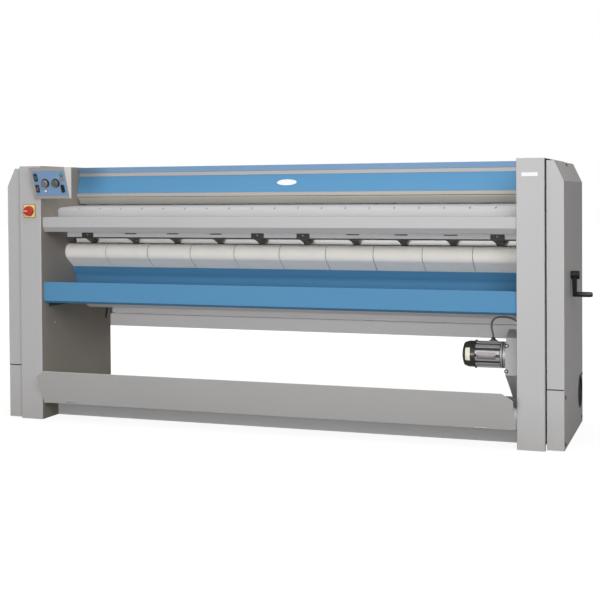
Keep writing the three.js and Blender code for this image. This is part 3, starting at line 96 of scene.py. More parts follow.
class Value:
    """A number, colour or vector that a node gives, with arithmetic that adds Math nodes."""

    def __init__(self, finish, socket):
        self.finish = finish
        self.socket = socket

    def maths(self, operation, first, second=0.0):
        return self.finish.node("ShaderNodeMath", {"operation": operation}, {0: first, 1: second})

    def __add__(self, other):
        return self.maths("ADD", self, other)

    def __radd__(self, other):
        return self.maths("ADD", other, self)

    def __sub__(self, other):
        return self.maths("SUBTRACT", self, other)

    def __rsub__(self, other):
        return self.maths("SUBTRACT", other, self)

    def __mul__(self, other):
        return self.maths("MULTIPLY", self, other)

    def __rmul__(self, other):
        return self.maths("MULTIPLY", other, self)

    def __truediv__(self, other):
        return self.maths("DIVIDE", self, other)

    def within(self, low, high):
        """0 below low, 1 above high and a straight ramp between."""
        settings = {"clamp": True}
        return self.finish.node("ShaderNodeMapRange", settings, {0: self, 1: low, 2: high, 3: 0.0, 4: 1.0})


def shade(code, gain=1.0):
    """The linear colour of a written web colour, made lighter or darker by a gain."""
    parts = [int(code[place:place + 2], 16) / 255 for place in (0, 2, 4)]
    linear = [part / 12.92 if part <= 0.04045 else ((part + 0.055) / 1.055) ** 2.4 for part in parts]
    return (*(min(part * gain, 1.0) for part in linear), 1.0)


class Finish:
    """A procedural material. Constants go straight onto the shader's own sockets."""

    def __init__(self, name, **constants):
        self.material = bpy.data.materials.new(name)
        self.material.use_nodes = True
        self.tree = self.material.node_tree
        self.shader = self.tree.nodes["Principled BSDF"]
        self.feed(**constants)

    def feed(self, **values):
        """Sets or links the shader's sockets: base_color stands for Base Color."""
        for name, value in values.items():
            self.put(self.shader.inputs[name.replace("_", " ").title()], value)

    def put(self, socket, value):
        if isinstance(value, Value):
            self.tree.links.new(value.socket, socket)
        else:
            socket.default_value = value

    def node(self, kind, settings=None, inputs=None, output=0):
        """Adds one node: its settings first, then the values or links of its sockets."""
        added = self.tree.nodes.new(kind)
        for name, value in (settings or {}).items():
            setattr(added, name, value)
        for name, value in (inputs or {}).items():
            self.put(added.inputs[name], value)
        return Value(self, added.outputs[output])

    def place(self):
        return self.node("ShaderNodeTexCoord", output="Object")

    def axes(self):
        """The three object coordinates as separate values."""
        split = self.node("ShaderNodeSeparateXYZ", inputs={0: self.place()})
        return [Value(self, split.socket.node.outputs[axis]) for axis in range(3)]

    def noise(self, scale, detail=2.0, stretch=(1, 1, 1)):
        """Cloudy values between 0 and 1, scale in features per metre."""
        spread = self.node("ShaderNodeMapping", inputs={"Vector": self.place(), "Scale": stretch})
        return self.node("ShaderNodeTexNoise", inputs={"Vector": spread, "Scale": scale, "Detail": detail})

    def mix(self, share, first, second):
        """A colour between two colours."""
        return self.node("ShaderNodeMix", {"data_type": "RGBA"}, {0: share, 6: first, 7: second}, 2)

    def bump(self, height, depth, strength=1.0):
        """Raises the surface by height times depth metres."""
        inputs = {"Height": height, "Distance": depth, "Strength": strength}
        self.feed(normal=self.node("ShaderNodeBump", inputs=inputs))


# Floor: a plain pale floor under the machine. It is white to the camera and keeps the machine's soft
# shadow, and it throws little light back on the object.
floor_half = 30.0
floor_mesh = bpy.data.meshes.new("floor")
floor_mesh.from_pydata([(x * floor_half, y * floor_half, 0) for x, y in ((-1, -1), (1, -1), (1, 1), (-1, 1))],
                       [], [(0, 1, 2, 3)])
floor = bpy.data.objects.new("floor", floor_mesh)
bpy.context.scene.collection.objects.link(floor)
floor_finish = Finish("floor_white", base_color=(0.14, 0.14, 0.14, 1), roughness=0.9)
floor_finish.shader.inputs["Specular IOR Level"].default_value = 0.0
floor_x, floor_y = floor_finish.axes()[:2]
floor_square = floor_x * floor_x + floor_y * floor_y
floor_away = floor_square.maths("SQRT", floor_square).within(1.6, 4.5)
to_camera = floor_finish.node("ShaderNodeLightPath", output="Is Camera Ray")
to_gloss = floor_finish.node("ShaderNodeLightPath", output="Is Glossy Ray")
floor_glow = floor_finish.mix(floor_away, (0.9, 0.9, 0.9, 1), (1.0, 1.0, 1.0, 1))
floor_dim = floor_finish.mix(to_gloss, (0, 0, 0, 1), (0.3, 0.3, 0.3, 1))
floor_finish.feed(emission_color=floor_finish.mix(to_camera, floor_dim, floor_glow))
floor_finish.feed(emission_strength=1.0)
floor_mesh.materials.append(floor_finish.material)

# Studio light: white all round to the camera and in front to mirrors, darker behind the machine, and a
# dim warm fill on matt surfaces. A high and a low soft lamp stand in front, one hangs overhead and a
# weak one stands behind.
world = bpy.data.worlds.new("studio")
bpy.context.scene.world = world
world.use_nodes = True
sky = world.node_tree
sky.nodes.clear()


def wire(tree, kind, links=(), values=None, **settings):
    """Adds a node to a tree: its settings, its sockets' values, and triples of output, node and input."""
    added = tree.nodes.new(kind)
    for name, value in settings.items():
        setattr(added, name, value)
    for entry, value in (values or {}).items():
        added.inputs[entry].default_value = value
    for source, output, entry in links:
        tree.links.new(source.outputs[output], added.inputs[entry])
    return added


path = wire(sky, "ShaderNodeLightPath")
sight_line = wire(sky, "ShaderNodeTexCoord")
heading = wire(sky, "ShaderNodeSeparateXYZ", [(sight_line, "Generated", 0)])
behind = wire(sky, "ShaderNodeMapRange", [(heading, "Y", "Value")], {"From Min": 0.1, "From Max": 0.6})
mirrored_tone = wire(sky, "ShaderNodeMix", [(behind, 0, 0)], data_type="RGBA",
                     values={6: (1, 1, 1, 1), 7: (0.28, 0.27, 0.26, 1)})
fill_tone = wire(sky, "ShaderNodeMix", [(path, "Is Glossy Ray", 0), (mirrored_tone, 2, 7)], data_type="RGBA",
                 values={6: (0.44, 0.42, 0.39, 1)})
clear = wire(sky, "ShaderNodeMath", [(path, "Is Camera Ray", 0), (path, "Is Transmission Ray", 1)],
             operation="MAXIMUM")
sky_tone = wire(sky, "ShaderNodeMix", [(clear, 0, 0), (fill_tone, 2, 6)], data_type="RGBA",
                values={7: (1, 1, 1, 1)})
sky_light = wire(sky, "ShaderNodeBackground", [(sky_tone, 2, "Color")])
wire(sky, "ShaderNodeOutputWorld", [(sky_light, 0, 0)])


def soft_lamp(name, place, aim, width, power, tint=(1, 1, 1)):
    """A square area lamp at a place, turned to its aim."""
    data = bpy.data.lights.new(name, "AREA")
    data.size = width
    data.energy = power
    data.color = tint
    lamp = bpy.data.objects.new(name, data)
    lamp.matrix_world = Matrix.Translation(place) @ (Vector(aim) - Vector(place)).to_track_quat(
        "-Z", "Y").to_matrix().to_4x4()
    bpy.context.scene.collection.objects.link(lamp)


soft_lamp("key_lamp", (2.5, -4.1, 2.7), (1.0, 0.0, 0.85), 2.2, 100, (0.98, 0.985, 1.0))
soft_lamp("low_lamp", (-0.4, -5.2, 0.62), (-0.1, 0.0, 0.6), 1.6, 114, (1.0, 0.99, 0.985))
soft_lamp("top_lamp", (0.0, -0.6, 4.2), (0.0, 0.0, 1.0), 3.0, 76)
soft_lamp("back_lamp", (-0.6, 5.0, 2.6), (0.0, 0.0, 0.7), 2.4, 100)


# Motor lead: a grey sheathed lead of three cores. It stands up out of the gland on the motor, bends
# over in one arch and goes through the grommet in the right end wall, where it is held.
walls_offset, front_offset = 45.65, 315


def at(x, y, z):
    """A point from millimetres off the middle between the walls, the columns' front and the floor."""
    return Vector((x - walls_offset, y - front_offset, z)) / 1000


def new_object(name, mesh):
    made = bpy.data.objects.new(name, mesh)
    bpy.context.scene.collection.objects.link(made)
    return made


lead_diameter = 0.0085
motor_plane = 214
lead_route = [(985, 437.6), (984.6, 443.5), (981.5, 455.4), (977.7, 474.6), (977.2, 488.3), (979.5, 502.2),
              (985.6, 512.3), (995, 519.2), (1008.7, 523.4), (1025.2, 524.4), (1041.6, 523.8), (1058, 520.9),
              (1071.6, 516.4), (1082.5, 510.2), (1092, 503), (1100.5, 498), (1109.4, 498)]
lead_points = [at(x, motor_plane, z) for x, z in lead_route]


def smooth_route(points, steps):
    """Points on one smooth curve through the given ones."""
    route = []
    for index in range(len(points) - 1):
        before = points[max(index - 1, 0)]
        start, end = points[index], points[index + 1]
        after = points[min(index + 2, len(points) - 1)]
        for step in range(steps):
            share = step / steps
            route.append(0.5 * (2 * start + (end - before) * share
                                + (2 * before - 5 * start + 4 * end - after) * share ** 2
                                + (3 * start - before - 3 * end + after) * share ** 3))
    return route + [points[-1]]


lead_line = smooth_route(lead_points, 6)
lead_length = sum((end - start).length for start, end in zip(lead_line, lead_line[1:]))
lead_curve = bpy.data.curves.new("motor_lead_sheath", "CURVE")
lead_curve.dimensions = "3D"
lead_curve.bevel_depth = lead_diameter / 2
lead_curve.bevel_resolution = 5
lead_curve.use_fill_caps = True
lead_spline = lead_curve.splines.new("POLY")
lead_spline.points.add(len(lead_line) - 1)
for spline_point, point in zip(lead_spline.points, lead_line):
    spline_point.co = (*point, 1)
motor_lead = new_object("motor_lead_sheath", lead_curve)
lead_finish = Finish("lead_sheath", roughness=0.55)
lead_grain = lead_finish.noise(600, 3)
lead_finish.feed(base_color=lead_finish.mix(lead_grain, shade("5e5e62"), shade("707074")))
lead_finish.bump(lead_grain, 0.00015)
lead_curve.materials.append(lead_finish.material)
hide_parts("motor_lead")
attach(motor_lead, "root")

# End frames, covers and the other grey sheet: folded steel, powder-coated light grey. The coat has a
# fine orange peel and the foot of each frame has gathered a little floor dust. The inner walls are
# painted a darker warm grey as painted shade.
inner_wall_plane = 1.118


def powder_coat(name, code, roughness=0.5, dust=0.0, inner=None, gloss=0.35):
    """Powder coating on sheet steel: slow drift of tone, fine peel, some dust low down."""
    finish = Finish(name)
    finish.shader.inputs["Specular IOR Level"].default_value = gloss
    drift = finish.noise(2.2, 3)
    speck = finish.noise(420, 2)
    peel = finish.noise(700, 1.5)
    colour = finish.mix(drift, shade(code, 0.965), shade(code, 1.035))
    colour = finish.mix(speck.within(0.62, 0.8) * 0.12, colour, shade(code, 0.8))
    if dust:
        height = finish.axes()[2]
        cloud = finish.noise(14, 4)
        low = (1.0 - (height + cloud * 0.08).within(0.03, 0.26)) * dust
        colour = finish.mix(low, colour, shade("8d8880"))
        finish.feed(roughness=roughness + low * 0.3 + (drift - 0.5) * 0.08)
    else:
        finish.feed(roughness=roughness + (drift - 0.5) * 0.08)
    # The darker warm grey on the inner faces of the end walls is painted shade in the recess.
    if inner:
        aside = finish.axes()[0] + walls_offset / 1000
        aside = aside.maths("ABSOLUTE", aside)
        outside = aside.within(inner_wall_plane + 0.0001, inner_wall_plane + 0.0006)
        colour = finish.mix(outside, shade(inner), colour)
    finish.feed(base_color=colour)
    finish.bump(peel, 0.00006)
    return finish.material


light_grey = powder_coat("light_grey_powder_coat", "b4b4b6")
frame_grey = powder_coat("frame_grey_powder_coat", "b4b4b6", dust=0.28, inner="8d877e")


def as_plain(made):
    """The piece with its modifiers worked into one plain mesh."""
    mesh = bpy.data.meshes.new_from_object(made.evaluated_get(bpy.context.evaluated_depsgraph_get()))
    made.modifiers.clear()
    made.data = mesh
    mesh.name = made.name
    return made


def on_body(made, body, replaced=()):
    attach(made, body)
    if replaced:
        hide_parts(*replaced)
    return made


def drilled(made, cutters, material):
    """The piece with holes cut by closed shapes."""
    cutter = finished("cutter", joined(*cutters), material)
    drill = made.modifiers.new("drill", "BOOLEAN")
    drill.operation = "DIFFERENCE"
    drill.solver = "EXACT"
    drill.object = cutter
    as_plain(made)
    bpy.data.objects.remove(cutter)
    return made


def softened(node, material, width=0.0008, cutters=()):
    """A copy of a sheet piece whose corners are rounded as pressed and coated sheet is."""
    original = frame["nodes"][node]
    shape = bmesh.new()
    shape.from_mesh(original.data)
    bmesh.ops.remove_doubles(shape, verts=shape.verts, dist=1e-6)
    bmesh.ops.dissolve_limit(shape, angle_limit=math.radians(0.5), verts=shape.verts, edges=shape.edges)
    mesh = bpy.data.meshes.new(f"{node}_coated")
    shape.to_mesh(mesh)
    shape.free()
    mesh.materials.clear()
    mesh.materials.append(material)
    made = new_object(mesh.name, mesh)
    if cutters:
        drilled(made, cutters, material)
    made.data.shade_smooth()
    made.data.set_sharp_from_angle(angle=math.radians(32))
    round_over = made.modifiers.new("rounded_corners", "BEVEL")
    round_over.width = width
    round_over.segments = 2
    round_over.limit_method = "ANGLE"
    round_over.angle_limit = math.radians(32)
    round_over.harden_normals = True
    flat_faces = made.modifiers.new("flat_faces", "WEIGHTED_NORMAL")
    flat_faces.weight = 100
    flat_faces.keep_sharp = True
    as_plain(made)
    return on_body(made, original["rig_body"], [node])


for node in ("side_frame_right", "side_frame_left", "lower_cover_right"):
    softened(node, frame_grey)
for node in ("side_cover_right", "side_cover_left", "front_crossbar", "hood_cover", "feed_rail",
             "feed_table_top", "drive_housing"):
    softened(node, light_grey)
# These parts are coated a lighter grey than the other sheet, as painted light on parts that lie in shade.
for node in ("rear_crossbar", "rear_cover", "lower_shield", "table_beam"):
    softened(node, powder_coat(f"{node}_coat", "dcdbdd"))

# Finger guard: a warm grey hinge rail is riveted under the hood, and the guard itself, a sheet that
# faces down, hangs from it. Both are folded steel with a powder coat. The guard's darker grey is painted
# shade.
softened("guard_hinge_rail", powder_coat("hinge_rail_coat", "aaa49e"))
softened("finger_guard", powder_coat("finger_guard_coat", "a5a49d", 0.6))

# Linen tray: one folded sheet under the rolls, in the same grey.
tray_grey = powder_coat("tray_grey_powder_coat", "bdbdbc", 0.45, dust=0.1)
softened("linen_tray", tray_grey)

# Hood: a pale blue strip folded over the front edge, a grey groove strip and the blue front panel. They
# are folded steel sheets, coated before they are screwed to the beam.
blue = powder_coat("blue_powder_coat", "548ab2", gloss=0.2)
pale_blue = powder_coat("pale_blue_powder_coat", "82a5c8")
softened("hood_top_strip", pale_blue)
softened("hood_front_panel", blue)
softened("hood_beam", powder_coat("groove_strip_coat", "a9a8a8"))

# Receiving trough: steel sheet folded to a trough and coated blue. It lies on an angle at each end, which
# is screwed to the wall. The angles are painted a dark green as painted shade under the trough.
trough_blue = powder_coat("trough_blue_powder_coat", "568cb4", 0.6, gloss=0.08)
softened("receiving_trough", trough_blue)
green = powder_coat("green_powder_coat", "1f4a3d")
for node in ("trough_bracket_right", "trough_bracket_left"):
    softened(node, green)

# Heated cylinder: a polished steel shell with welded ends, hollow journals and its sprocket. It was
# turned and polished round its axis, so the fine lines run round it.


def brushed_metal(name, code, roughness, stretch, lines=900, depth=0.00002, metallic=1.0):
    """Bare metal with fine lines across the direction in which the pattern is stretched."""
    finish = Finish(name, metallic=metallic)
    line = finish.noise(lines, 2, stretch)
    drift = finish.noise(6, 3)
    finish.feed(base_color=finish.mix(drift, shade(code, 0.94), shade(code, 1.03)))
    finish.feed(roughness=roughness + (line - 0.5) * 0.12 + (drift - 0.5) * 0.06)
    finish.bump(line, depth)
    return finish.material


def skinned(shape, rings, closed=False):
    """Faces between rings of points, each ring closed in itself."""
    for first, second in zip(rings, rings[1:] + rings[:1] if closed else rings[1:]):
        for step in range(len(first)):
            after = (step + 1) % len(first)
            corners = list(dict.fromkeys([first[step], first[after], second[after], second[step]]))
            if len(corners) > 2:
                shape.faces.new(corners)
    return shape


def turned(profile, place, steps, closed=False):
    """A turned shape: pairs of height and radius spun round the local Z of a place."""
    shape = bmesh.new()
    rings = []
    for height, radius in profile:
        if radius < 1e-7:
            rings.append([shape.verts.new(place @ Vector((0, 0, height)))] * steps)
            continue
        ring = []
        for step in range(steps):
            angle = 2 * math.pi * step / steps
            ring.append(shape.verts.new(place @ Vector((radius * math.cos(angle), radius * math.sin(angle),
                                                        height))))
        rings.append(ring)
    return skinned(shape, rings, closed)


def finished(name, shape, material):
    """A mesh object from a shape, with its faces turned outwards and its round stretches smooth."""
    bmesh.ops.recalc_face_normals(shape, faces=shape.faces)
    mesh = bpy.data.meshes.new(name)
    shape.to_mesh(mesh)
    shape.free()
    mesh.materials.append(material)
    mesh.shade_smooth()
    mesh.set_sharp_from_angle(angle=math.radians(30))
    return new_object(name, mesh)


def joined(*shapes):
    """Several shapes in one."""
    whole = shapes[0]
    for other in shapes[1:]:
        mesh = bpy.data.meshes.new("part")
        other.to_mesh(mesh)
        other.free()
        whole.from_mesh(mesh)
        bpy.data.meshes.remove(mesh)
    return whole


def chamfered(points, cut, closed=False):
    """An outline with each of its corners cut by a small length."""
    result = []
    count = len(points)
    for index, point in enumerate(points):
        here = Vector(point)
        if not closed and index in (0, count - 1):
            result.append(tuple(here))
            continue
        for other in (points[index - 1], points[(index + 1) % count]):
            towards = Vector(other) - here
            result.append(tuple(here + towards * min(cut / towards.length, 0.45)))
    return result


def middle_of(node):
    low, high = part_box(node)
    return (low + high) / 2


def along_x(middle):
    """A place on a piece's axis, midway between the walls, whose local Z runs along the machine."""
    place = Matrix.Translation((-walls_offset / 1000, middle.y, middle.z))
    return place @ Matrix.Rotation(math.radians(90), 4, "Y")


cylinder_low, cylinder_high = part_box("heated_cylinder")
cylinder_middle = middle_of("heated_cylinder")
cylinder_radius = (cylinder_high.z - cylinder_low.z) / 2
shell_half, journal_reach, journal_radius, journal_bore = 1.108, 0.078, 0.040, 0.028
sprocket_radius, sprocket_plane, sprocket_width = 0.120, 1.166, 0.008
end_set_back = 0.003
shell_inside = cylinder_radius - 0.008
journal_end, end_plane = shell_half + journal_reach, shell_half - end_set_back
sprocket_near, sprocket_far = sprocket_plane - sprocket_width / 2, sprocket_plane + sprocket_width / 2
cylinder_profile = [
    (-journal_end, journal_bore), (-journal_end, journal_radius), (-end_plane, journal_radius),
    (-end_plane, shell_inside), (-shell_half, shell_inside), (-shell_half, cylinder_radius),
    (shell_half, cylinder_radius), (shell_half, shell_inside), (end_plane, shell_inside),
    (end_plane, journal_radius), (sprocket_near, journal_radius), (sprocket_near, sprocket_radius),
    (sprocket_far, sprocket_radius), (sprocket_far, journal_radius), (journal_end, journal_radius),
    (journal_end, journal_bore)]
cylinder_shape = turned(chamfered(cylinder_profile, 0.0012, True), along_x(cylinder_middle), 144, True)
# The shell's near-white, mostly matt colour is a painted reflection of the bright surroundings in the
# polished steel.
polished = brushed_metal("polished_cylinder_steel", "fdfdfd", 0.45, (1, 0.02, 0.02), metallic=0.2)
on_body(finished("cylinder_polished", cylinder_shape, polished), "heated_cylinder",
        ["heated_cylinder"])

# Rollers under the belts: zinc-plated steel tubes with turned journals, which run in flange bearings on
# the end walls.
roller_steel = brushed_metal("roller_steel", "6e6d6b", 0.4, (1, 0.05, 0.05))
roller_half, roller_journal, roller_reach = 1.112, 0.010, 1.142
roller_radii = {}
for node in ("nose_roller", "lower_rear_roller", "upper_rear_roller", "feed_roller"):
    low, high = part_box(node)
    radius = (high.z - low.z) / 2
    roller_radii[node] = radius
    profile = [(-roller_reach, 0), (-roller_reach, roller_journal), (-roller_half, roller_journal),
               (-roller_half, radius), (roller_half, radius), (roller_half, roller_journal),
               (roller_reach, roller_journal), (roller_reach, 0)]
    shape = turned(chamfered(profile, 0.001), along_x(middle_of(node)), 72)
    on_body(finished(f"{node}_turned", shape, roller_steel), node, [node])

# Ironing belts: ten endless padded belts of off-white needled felt, side by side round the four rollers
# and against the cylinder. A geometry node tree sets the ten copies of one belt at the belt pitch.
belt_low, belt_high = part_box("ironing_belts")
belt_count = 10
belt_gap = 0.0024
belt_thickness = 0.003
belt_pitch = (belt_high.x - belt_low.x + belt_gap) / belt_count
belt_seat = 0.0003
belt_edge = 0.0009
belt_steps_per_turn = 150


def tangent_loop(wheels):
    """Points of a tight loop round wheels, each (y, z, radius, turn), with the way out at each point."""
    runs = []
    for index, (y, z, radius, turn) in enumerate(wheels):
        next_y, next_z, next_radius, next_turn = wheels[(index + 1) % len(wheels)]
        reach = math.hypot(next_y - y, next_z - z)
        lean = math.asin((turn * radius - next_turn * next_radius) / reach)
        runs.append(math.atan2(next_z - z, next_y - y) + lean)
    points = []
    for index, (y, z, radius, turn) in enumerate(wheels):
        start = runs[index - 1]
        sweep = ((runs[index] - start) * turn) % (2 * math.pi)
        steps = max(2, round(belt_steps_per_turn * sweep / (2 * math.pi)))
        for step in range(steps + 1):
            heading = start + turn * sweep * step / steps
            out = Vector((math.sin(heading), -math.cos(heading)))
            points.append((Vector((y, z)) + out * turn * radius, out))
    return points


def belt_wheels(clear):
    wheels = []
    for node, radius in roller_radii.items():
        middle = middle_of(node)
        wheels.append((middle.y, middle.z, radius + clear, 1))
    wheels.append((cylinder_middle.y, cylinder_middle.z, cylinder_radius + clear, -1))
    return wheels


def band(loop, half_width, thickness, edge):
    """A closed band along a loop, its two edges rounded, with a map of run and width in metres."""
    rim = [(-half_width + edge, -thickness / 2), (half_width - edge, -thickness / 2),
           (half_width, -thickness / 2 + edge), (half_width, thickness / 2 - edge),
           (half_width - edge, thickness / 2), (-half_width + edge, thickness / 2),
           (-half_width, thickness / 2 - edge), (-half_width, -thickness / 2 + edge)]
    shape = bmesh.new()
    rings = [[shape.verts.new((x, *(point + out * aside))) for x, aside in rim] for point, out in loop]
    run_map = shape.loops.layers.uv.new("run")
    run = 0.0
    for index, (point, out) in enumerate(loop):
        after = (index + 1) % len(loop)
        length = (loop[after][0] - point).length
        for side in range(len(rim)):
            beside = (side + 1) % len(rim)
            face = shape.faces.new([rings[index][side], rings[index][beside], rings[after][beside],
                                    rings[after][side]])
            marks = [(run, rim[side][0]), (run, rim[beside][0]), (run + length, rim[beside][0]),
                     (run + length, rim[side][0])]
            for corner, mark in zip(face.loops, marks):
                corner[run_map].uv = mark
        run += length
    return shape


def felt(name, code):
    """Needled felt: cloudy fibres, a faint weave of the carrier cloth and a matt surface."""
    finish = Finish(name, roughness=0.9, sheen_weight=0.25, sheen_roughness=0.5)
    spread = finish.node("ShaderNodeUVMap", {"uv_map": "run"})
    threads = {"Vector": spread, "Scale": 180.0, "Distortion": 0.6, "Detail": 1.0}
    weave, ribs = (finish.node("ShaderNodeTexWave", {"bands_direction": axis}, threads, 1) for axis in "XY")
    fibre = finish.node("ShaderNodeTexNoise", inputs={"Vector": spread, "Scale": 900.0, "Detail": 3.0})
    cloud = finish.node("ShaderNodeTexNoise", inputs={"Vector": spread, "Scale": 9.0, "Detail": 4.0})
    colour = finish.mix(cloud, shade(code, 0.94), shade(code, 1.05))
    colour = finish.mix(fibre.within(0.45, 0.75) * 0.16, colour, shade(code, 0.82))
    finish.feed(base_color=colour)
    finish.bump(weave * ribs * 0.5 + fibre * 0.5, 0.00022)
    return finish.material


belt_felt = felt("belt_felt", "f8f4ee")
belt_loop = tangent_loop(belt_wheels(belt_seat + belt_thickness / 2))
belt_one = finished("belt_pattern", band(belt_loop, (belt_pitch - belt_gap) / 2, belt_thickness, belt_edge),
                    belt_felt)


def node_tree(name, inputs):
    """A geometry node tree with named inputs: pairs of name and socket type."""
    tree = bpy.data.node_groups.new(name, "GeometryNodeTree")
    tree.interface.new_socket("Geometry", in_out="INPUT", socket_type="NodeSocketGeometry")
    for title, kind in inputs:
        tree.interface.new_socket(title, in_out="INPUT", socket_type=kind)
    tree.interface.new_socket("Geometry", in_out="OUTPUT", socket_type="NodeSocketGeometry")
    return tree


def end_tree(tree, entry, instances):
    """The end of each tree: real copies with their material."""
    real = wire(tree, "GeometryNodeRealizeInstances", [(instances, "Instances", "Geometry")])
    dressed = wire(tree, "GeometryNodeSetMaterial", [(real, "Geometry", "Geometry"),
                                                     (entry, "Finish", "Material")])
    wire(tree, "NodeGroupOutput", [(dressed, "Geometry", "Geometry")])


row_tree = node_tree("row_of_copies", [("Original", "NodeSocketObject"), ("Count", "NodeSocketInt"),
                                       ("Pitch", "NodeSocketVector"), ("Start", "NodeSocketVector"),
                                       ("Finish", "NodeSocketMaterial")])
row_in = wire(row_tree, "NodeGroupInput")
row_line = wire(row_tree, "GeometryNodeMeshLine", [(row_in, "Count", "Count"), (row_in, "Pitch", "Offset"),
                                                   (row_in, "Start", "Start Location")])
row_original = wire(row_tree, "GeometryNodeObjectInfo", [(row_in, "Original", "Object")])
row_copies = wire(row_tree, "GeometryNodeInstanceOnPoints",
                  [(row_line, "Mesh", "Points"), (row_original, "Geometry", "Instance")])
end_tree(row_tree, row_in, row_copies)


def grown(name, tree, values, mesh=None):
    """A plain mesh that a node tree makes from its named inputs."""
    made = new_object(name, mesh or bpy.data.meshes.new(name))
    grower = made.modifiers.new("grower", "NODES")
    grower.node_group = tree
    for item in tree.interface.items_tree:
        if item.in_out == "INPUT" and item.name in values:
            grower[item.identifier] = values[item.name]
    as_plain(made)
    return made


belts = grown("belts_of_felt", row_tree, {
    "Original": belt_one, "Count": belt_count, "Pitch": (belt_pitch, 0, 0),
    "Start": (belt_low.x + (belt_pitch - belt_gap) / 2, 0, 0), "Finish": belt_felt})
bpy.data.objects.remove(belt_one)
on_body(belts, "root", ["ironing_belts"])

# Blank plates: an oval enamel badge with a bright rim on the hood panel, and a white plate on the right
# column. Both are stamped from thin sheet and glued on.


def slab(outline, low, high, place, edge=0.0):
    """A flat piece with an outline, from low to high along the local Z, its sharp edges rounded over."""
    shape = bmesh.new()
    foot = [shape.verts.new(Vector((x, y, low))) for x, y in outline]
    head = [shape.verts.new(Vector((x, y, high))) for x, y in outline]
    shape.faces.new(foot[::-1])
    shape.faces.new(head)
    for index in range(len(outline)):
        after = (index + 1) % len(outline)
        shape.faces.new([foot[index], foot[after], head[after], head[index]])
    if edge:
        sharp = [line for line in shape.edges if line.calc_face_angle(0) > math.radians(30)]
        bmesh.ops.bevel(shape, geom=sharp, offset=edge, segments=2, affect="EDGES", profile=0.5)
    bmesh.ops.transform(shape, matrix=place, verts=shape.verts)
    return shape


def round_rect(width, height, radius, steps=6):
    """An outline with round corners, centred on its place."""
    points = []
    for corner, (aside, up) in enumerate(((1, 1), (-1, 1), (-1, -1), (1, -1))):
        middle = ((width / 2 - radius) * aside, (height / 2 - radius) * up)
        for step in range(steps + 1):
            angle = math.radians(90) * (corner + step / steps)
            point = Vector((middle[0] + radius * math.cos(angle), middle[1] + radius * math.sin(angle)))
            if not points or (point - points[-1]).length > 1e-6:
                points.append(point)
    if (points[0] - points[-1]).length < 1e-6:
        points.pop()
    return points


def oval(width, height, steps=72):
    turns = [2 * math.pi * step / steps for step in range(steps)]
    return [(width / 2 * math.cos(turn), height / 2 * math.sin(turn)) for turn in turns]


def towards_front(x, y, z, lean=0.0):
    """A place at a measured point, its local Z to the front and its local Y up, leaned about X."""
    return Matrix.Translation(at(x, y, z)) @ Matrix.Rotation(math.radians(90) + lean, 4, "X")


def plastic(name, code, roughness=0.35, grain=300, depth=0.00003):
    """Moulded plastic or enamel: a little drift of tone and a fine grain."""
    finish = Finish(name)
    cloud = finish.noise(grain, 2)
    drift = finish.noise(18, 2)
    finish.feed(base_color=finish.mix(drift, shade(code, 0.93), shade(code, 1.05)))
    finish.feed(roughness=roughness + (cloud - 0.5) * 0.12)
    finish.bump(cloud, depth)
    return finish.material


badge_place = towards_front(-7, 351.77, 1114.54, -math.atan2(22, 83.16))
white_enamel = plastic("white_enamel", "dfe3e8", 0.22)
bright_rim = brushed_metal("bright_rim_steel", "c8cacc", 0.22, (1, 1, 1), 700)
badge = slab(oval(0.096, 0.0282), 0.0004, 0.0022, badge_place, 0.0006)
on_body(finished("badge_enamel", badge, white_enamel), "root", ["badge_plate"])
rim_line = [(Vector((x, y, 0.0015)), Vector((x / 0.0495 ** 2, y / 0.0155 ** 2, 0)).normalized())
            for x, y in oval(0.0974, 0.0294, 96)]
rim_shape = bmesh.new()
rim_turns = [math.radians(45 * step) for step in range(8)]
rim_rings = [[rim_shape.verts.new(badge_place @ (point + out * 0.0008 * math.cos(turn)
                                                 + Vector((0, 0, 0.0012 * math.sin(turn)))))
              for turn in rim_turns] for point, out in rim_line]
on_body(finished("badge_rim", skinned(rim_shape, rim_rings, True), bright_rim), "root")
column_plate = finished("column_plate", slab(round_rect(0.065, 0.0155, 0.001, 3), 0.0, 0.0008,
                                             towards_front(1173, -0.1, 1133.2), 0.0002),
                        plastic("white_plate_film", "dfe0e6", 0.3))
on_body(column_plate, "root")

# Control box: folded stainless sheet with a sloping face, brushed along its length. A printed blue
# fascia lies on the face, with a small pale window between the knob and the lamps.
satin_stainless = Finish("satin_stainless", metallic=0.85)
satin_line = satin_stainless.noise(900, 2, (0.03, 1, 1))
box_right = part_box("control_box")[1].x
# The right end of the box is painted lighter and less metallic: painted light on that side.
painted_light_cheek = satin_stainless.axes()[0].within(box_right - 0.0006, box_right - 0.0003)
satin_stainless.feed(base_color=satin_stainless.mix(painted_light_cheek, shade("bfb5b0"), shade("ebe6e2")))
satin_stainless.feed(metallic=0.6 - painted_light_cheek * 0.5)
satin_stainless.feed(roughness=0.42 + (satin_line - 0.5) * 0.12)
satin_stainless.bump(satin_line, 0.00002)
softened("control_box", satin_stainless.material, 0.0014)
softened("control_fascia", plastic("blue_fascia_film", "7f9fc6", 0.32), 0.0003)
panel_tilt = math.atan2(52, 146)


def on_panel(x, up):
    """A place on the fascia, in millimetres from its middle, with Z facing out and Y up the slope."""
    slope = Matrix.Translation(at(-1046.5, -39, 1119)) @ Matrix.Rotation(panel_tilt, 4, "X")
    place = slope @ Matrix.Translation((x / 1000, -0.0018, up / 1000))
    return place @ Matrix.Rotation(math.radians(90), 4, "X")


window = slab(round_rect(0.012, 0.008, 0.001, 3), 0.0, 0.0004, on_panel(53, 27), 0.0001)
on_body(finished("fascia_window", window, plastic("pale_window", "98a9cf", 0.2)), "root")

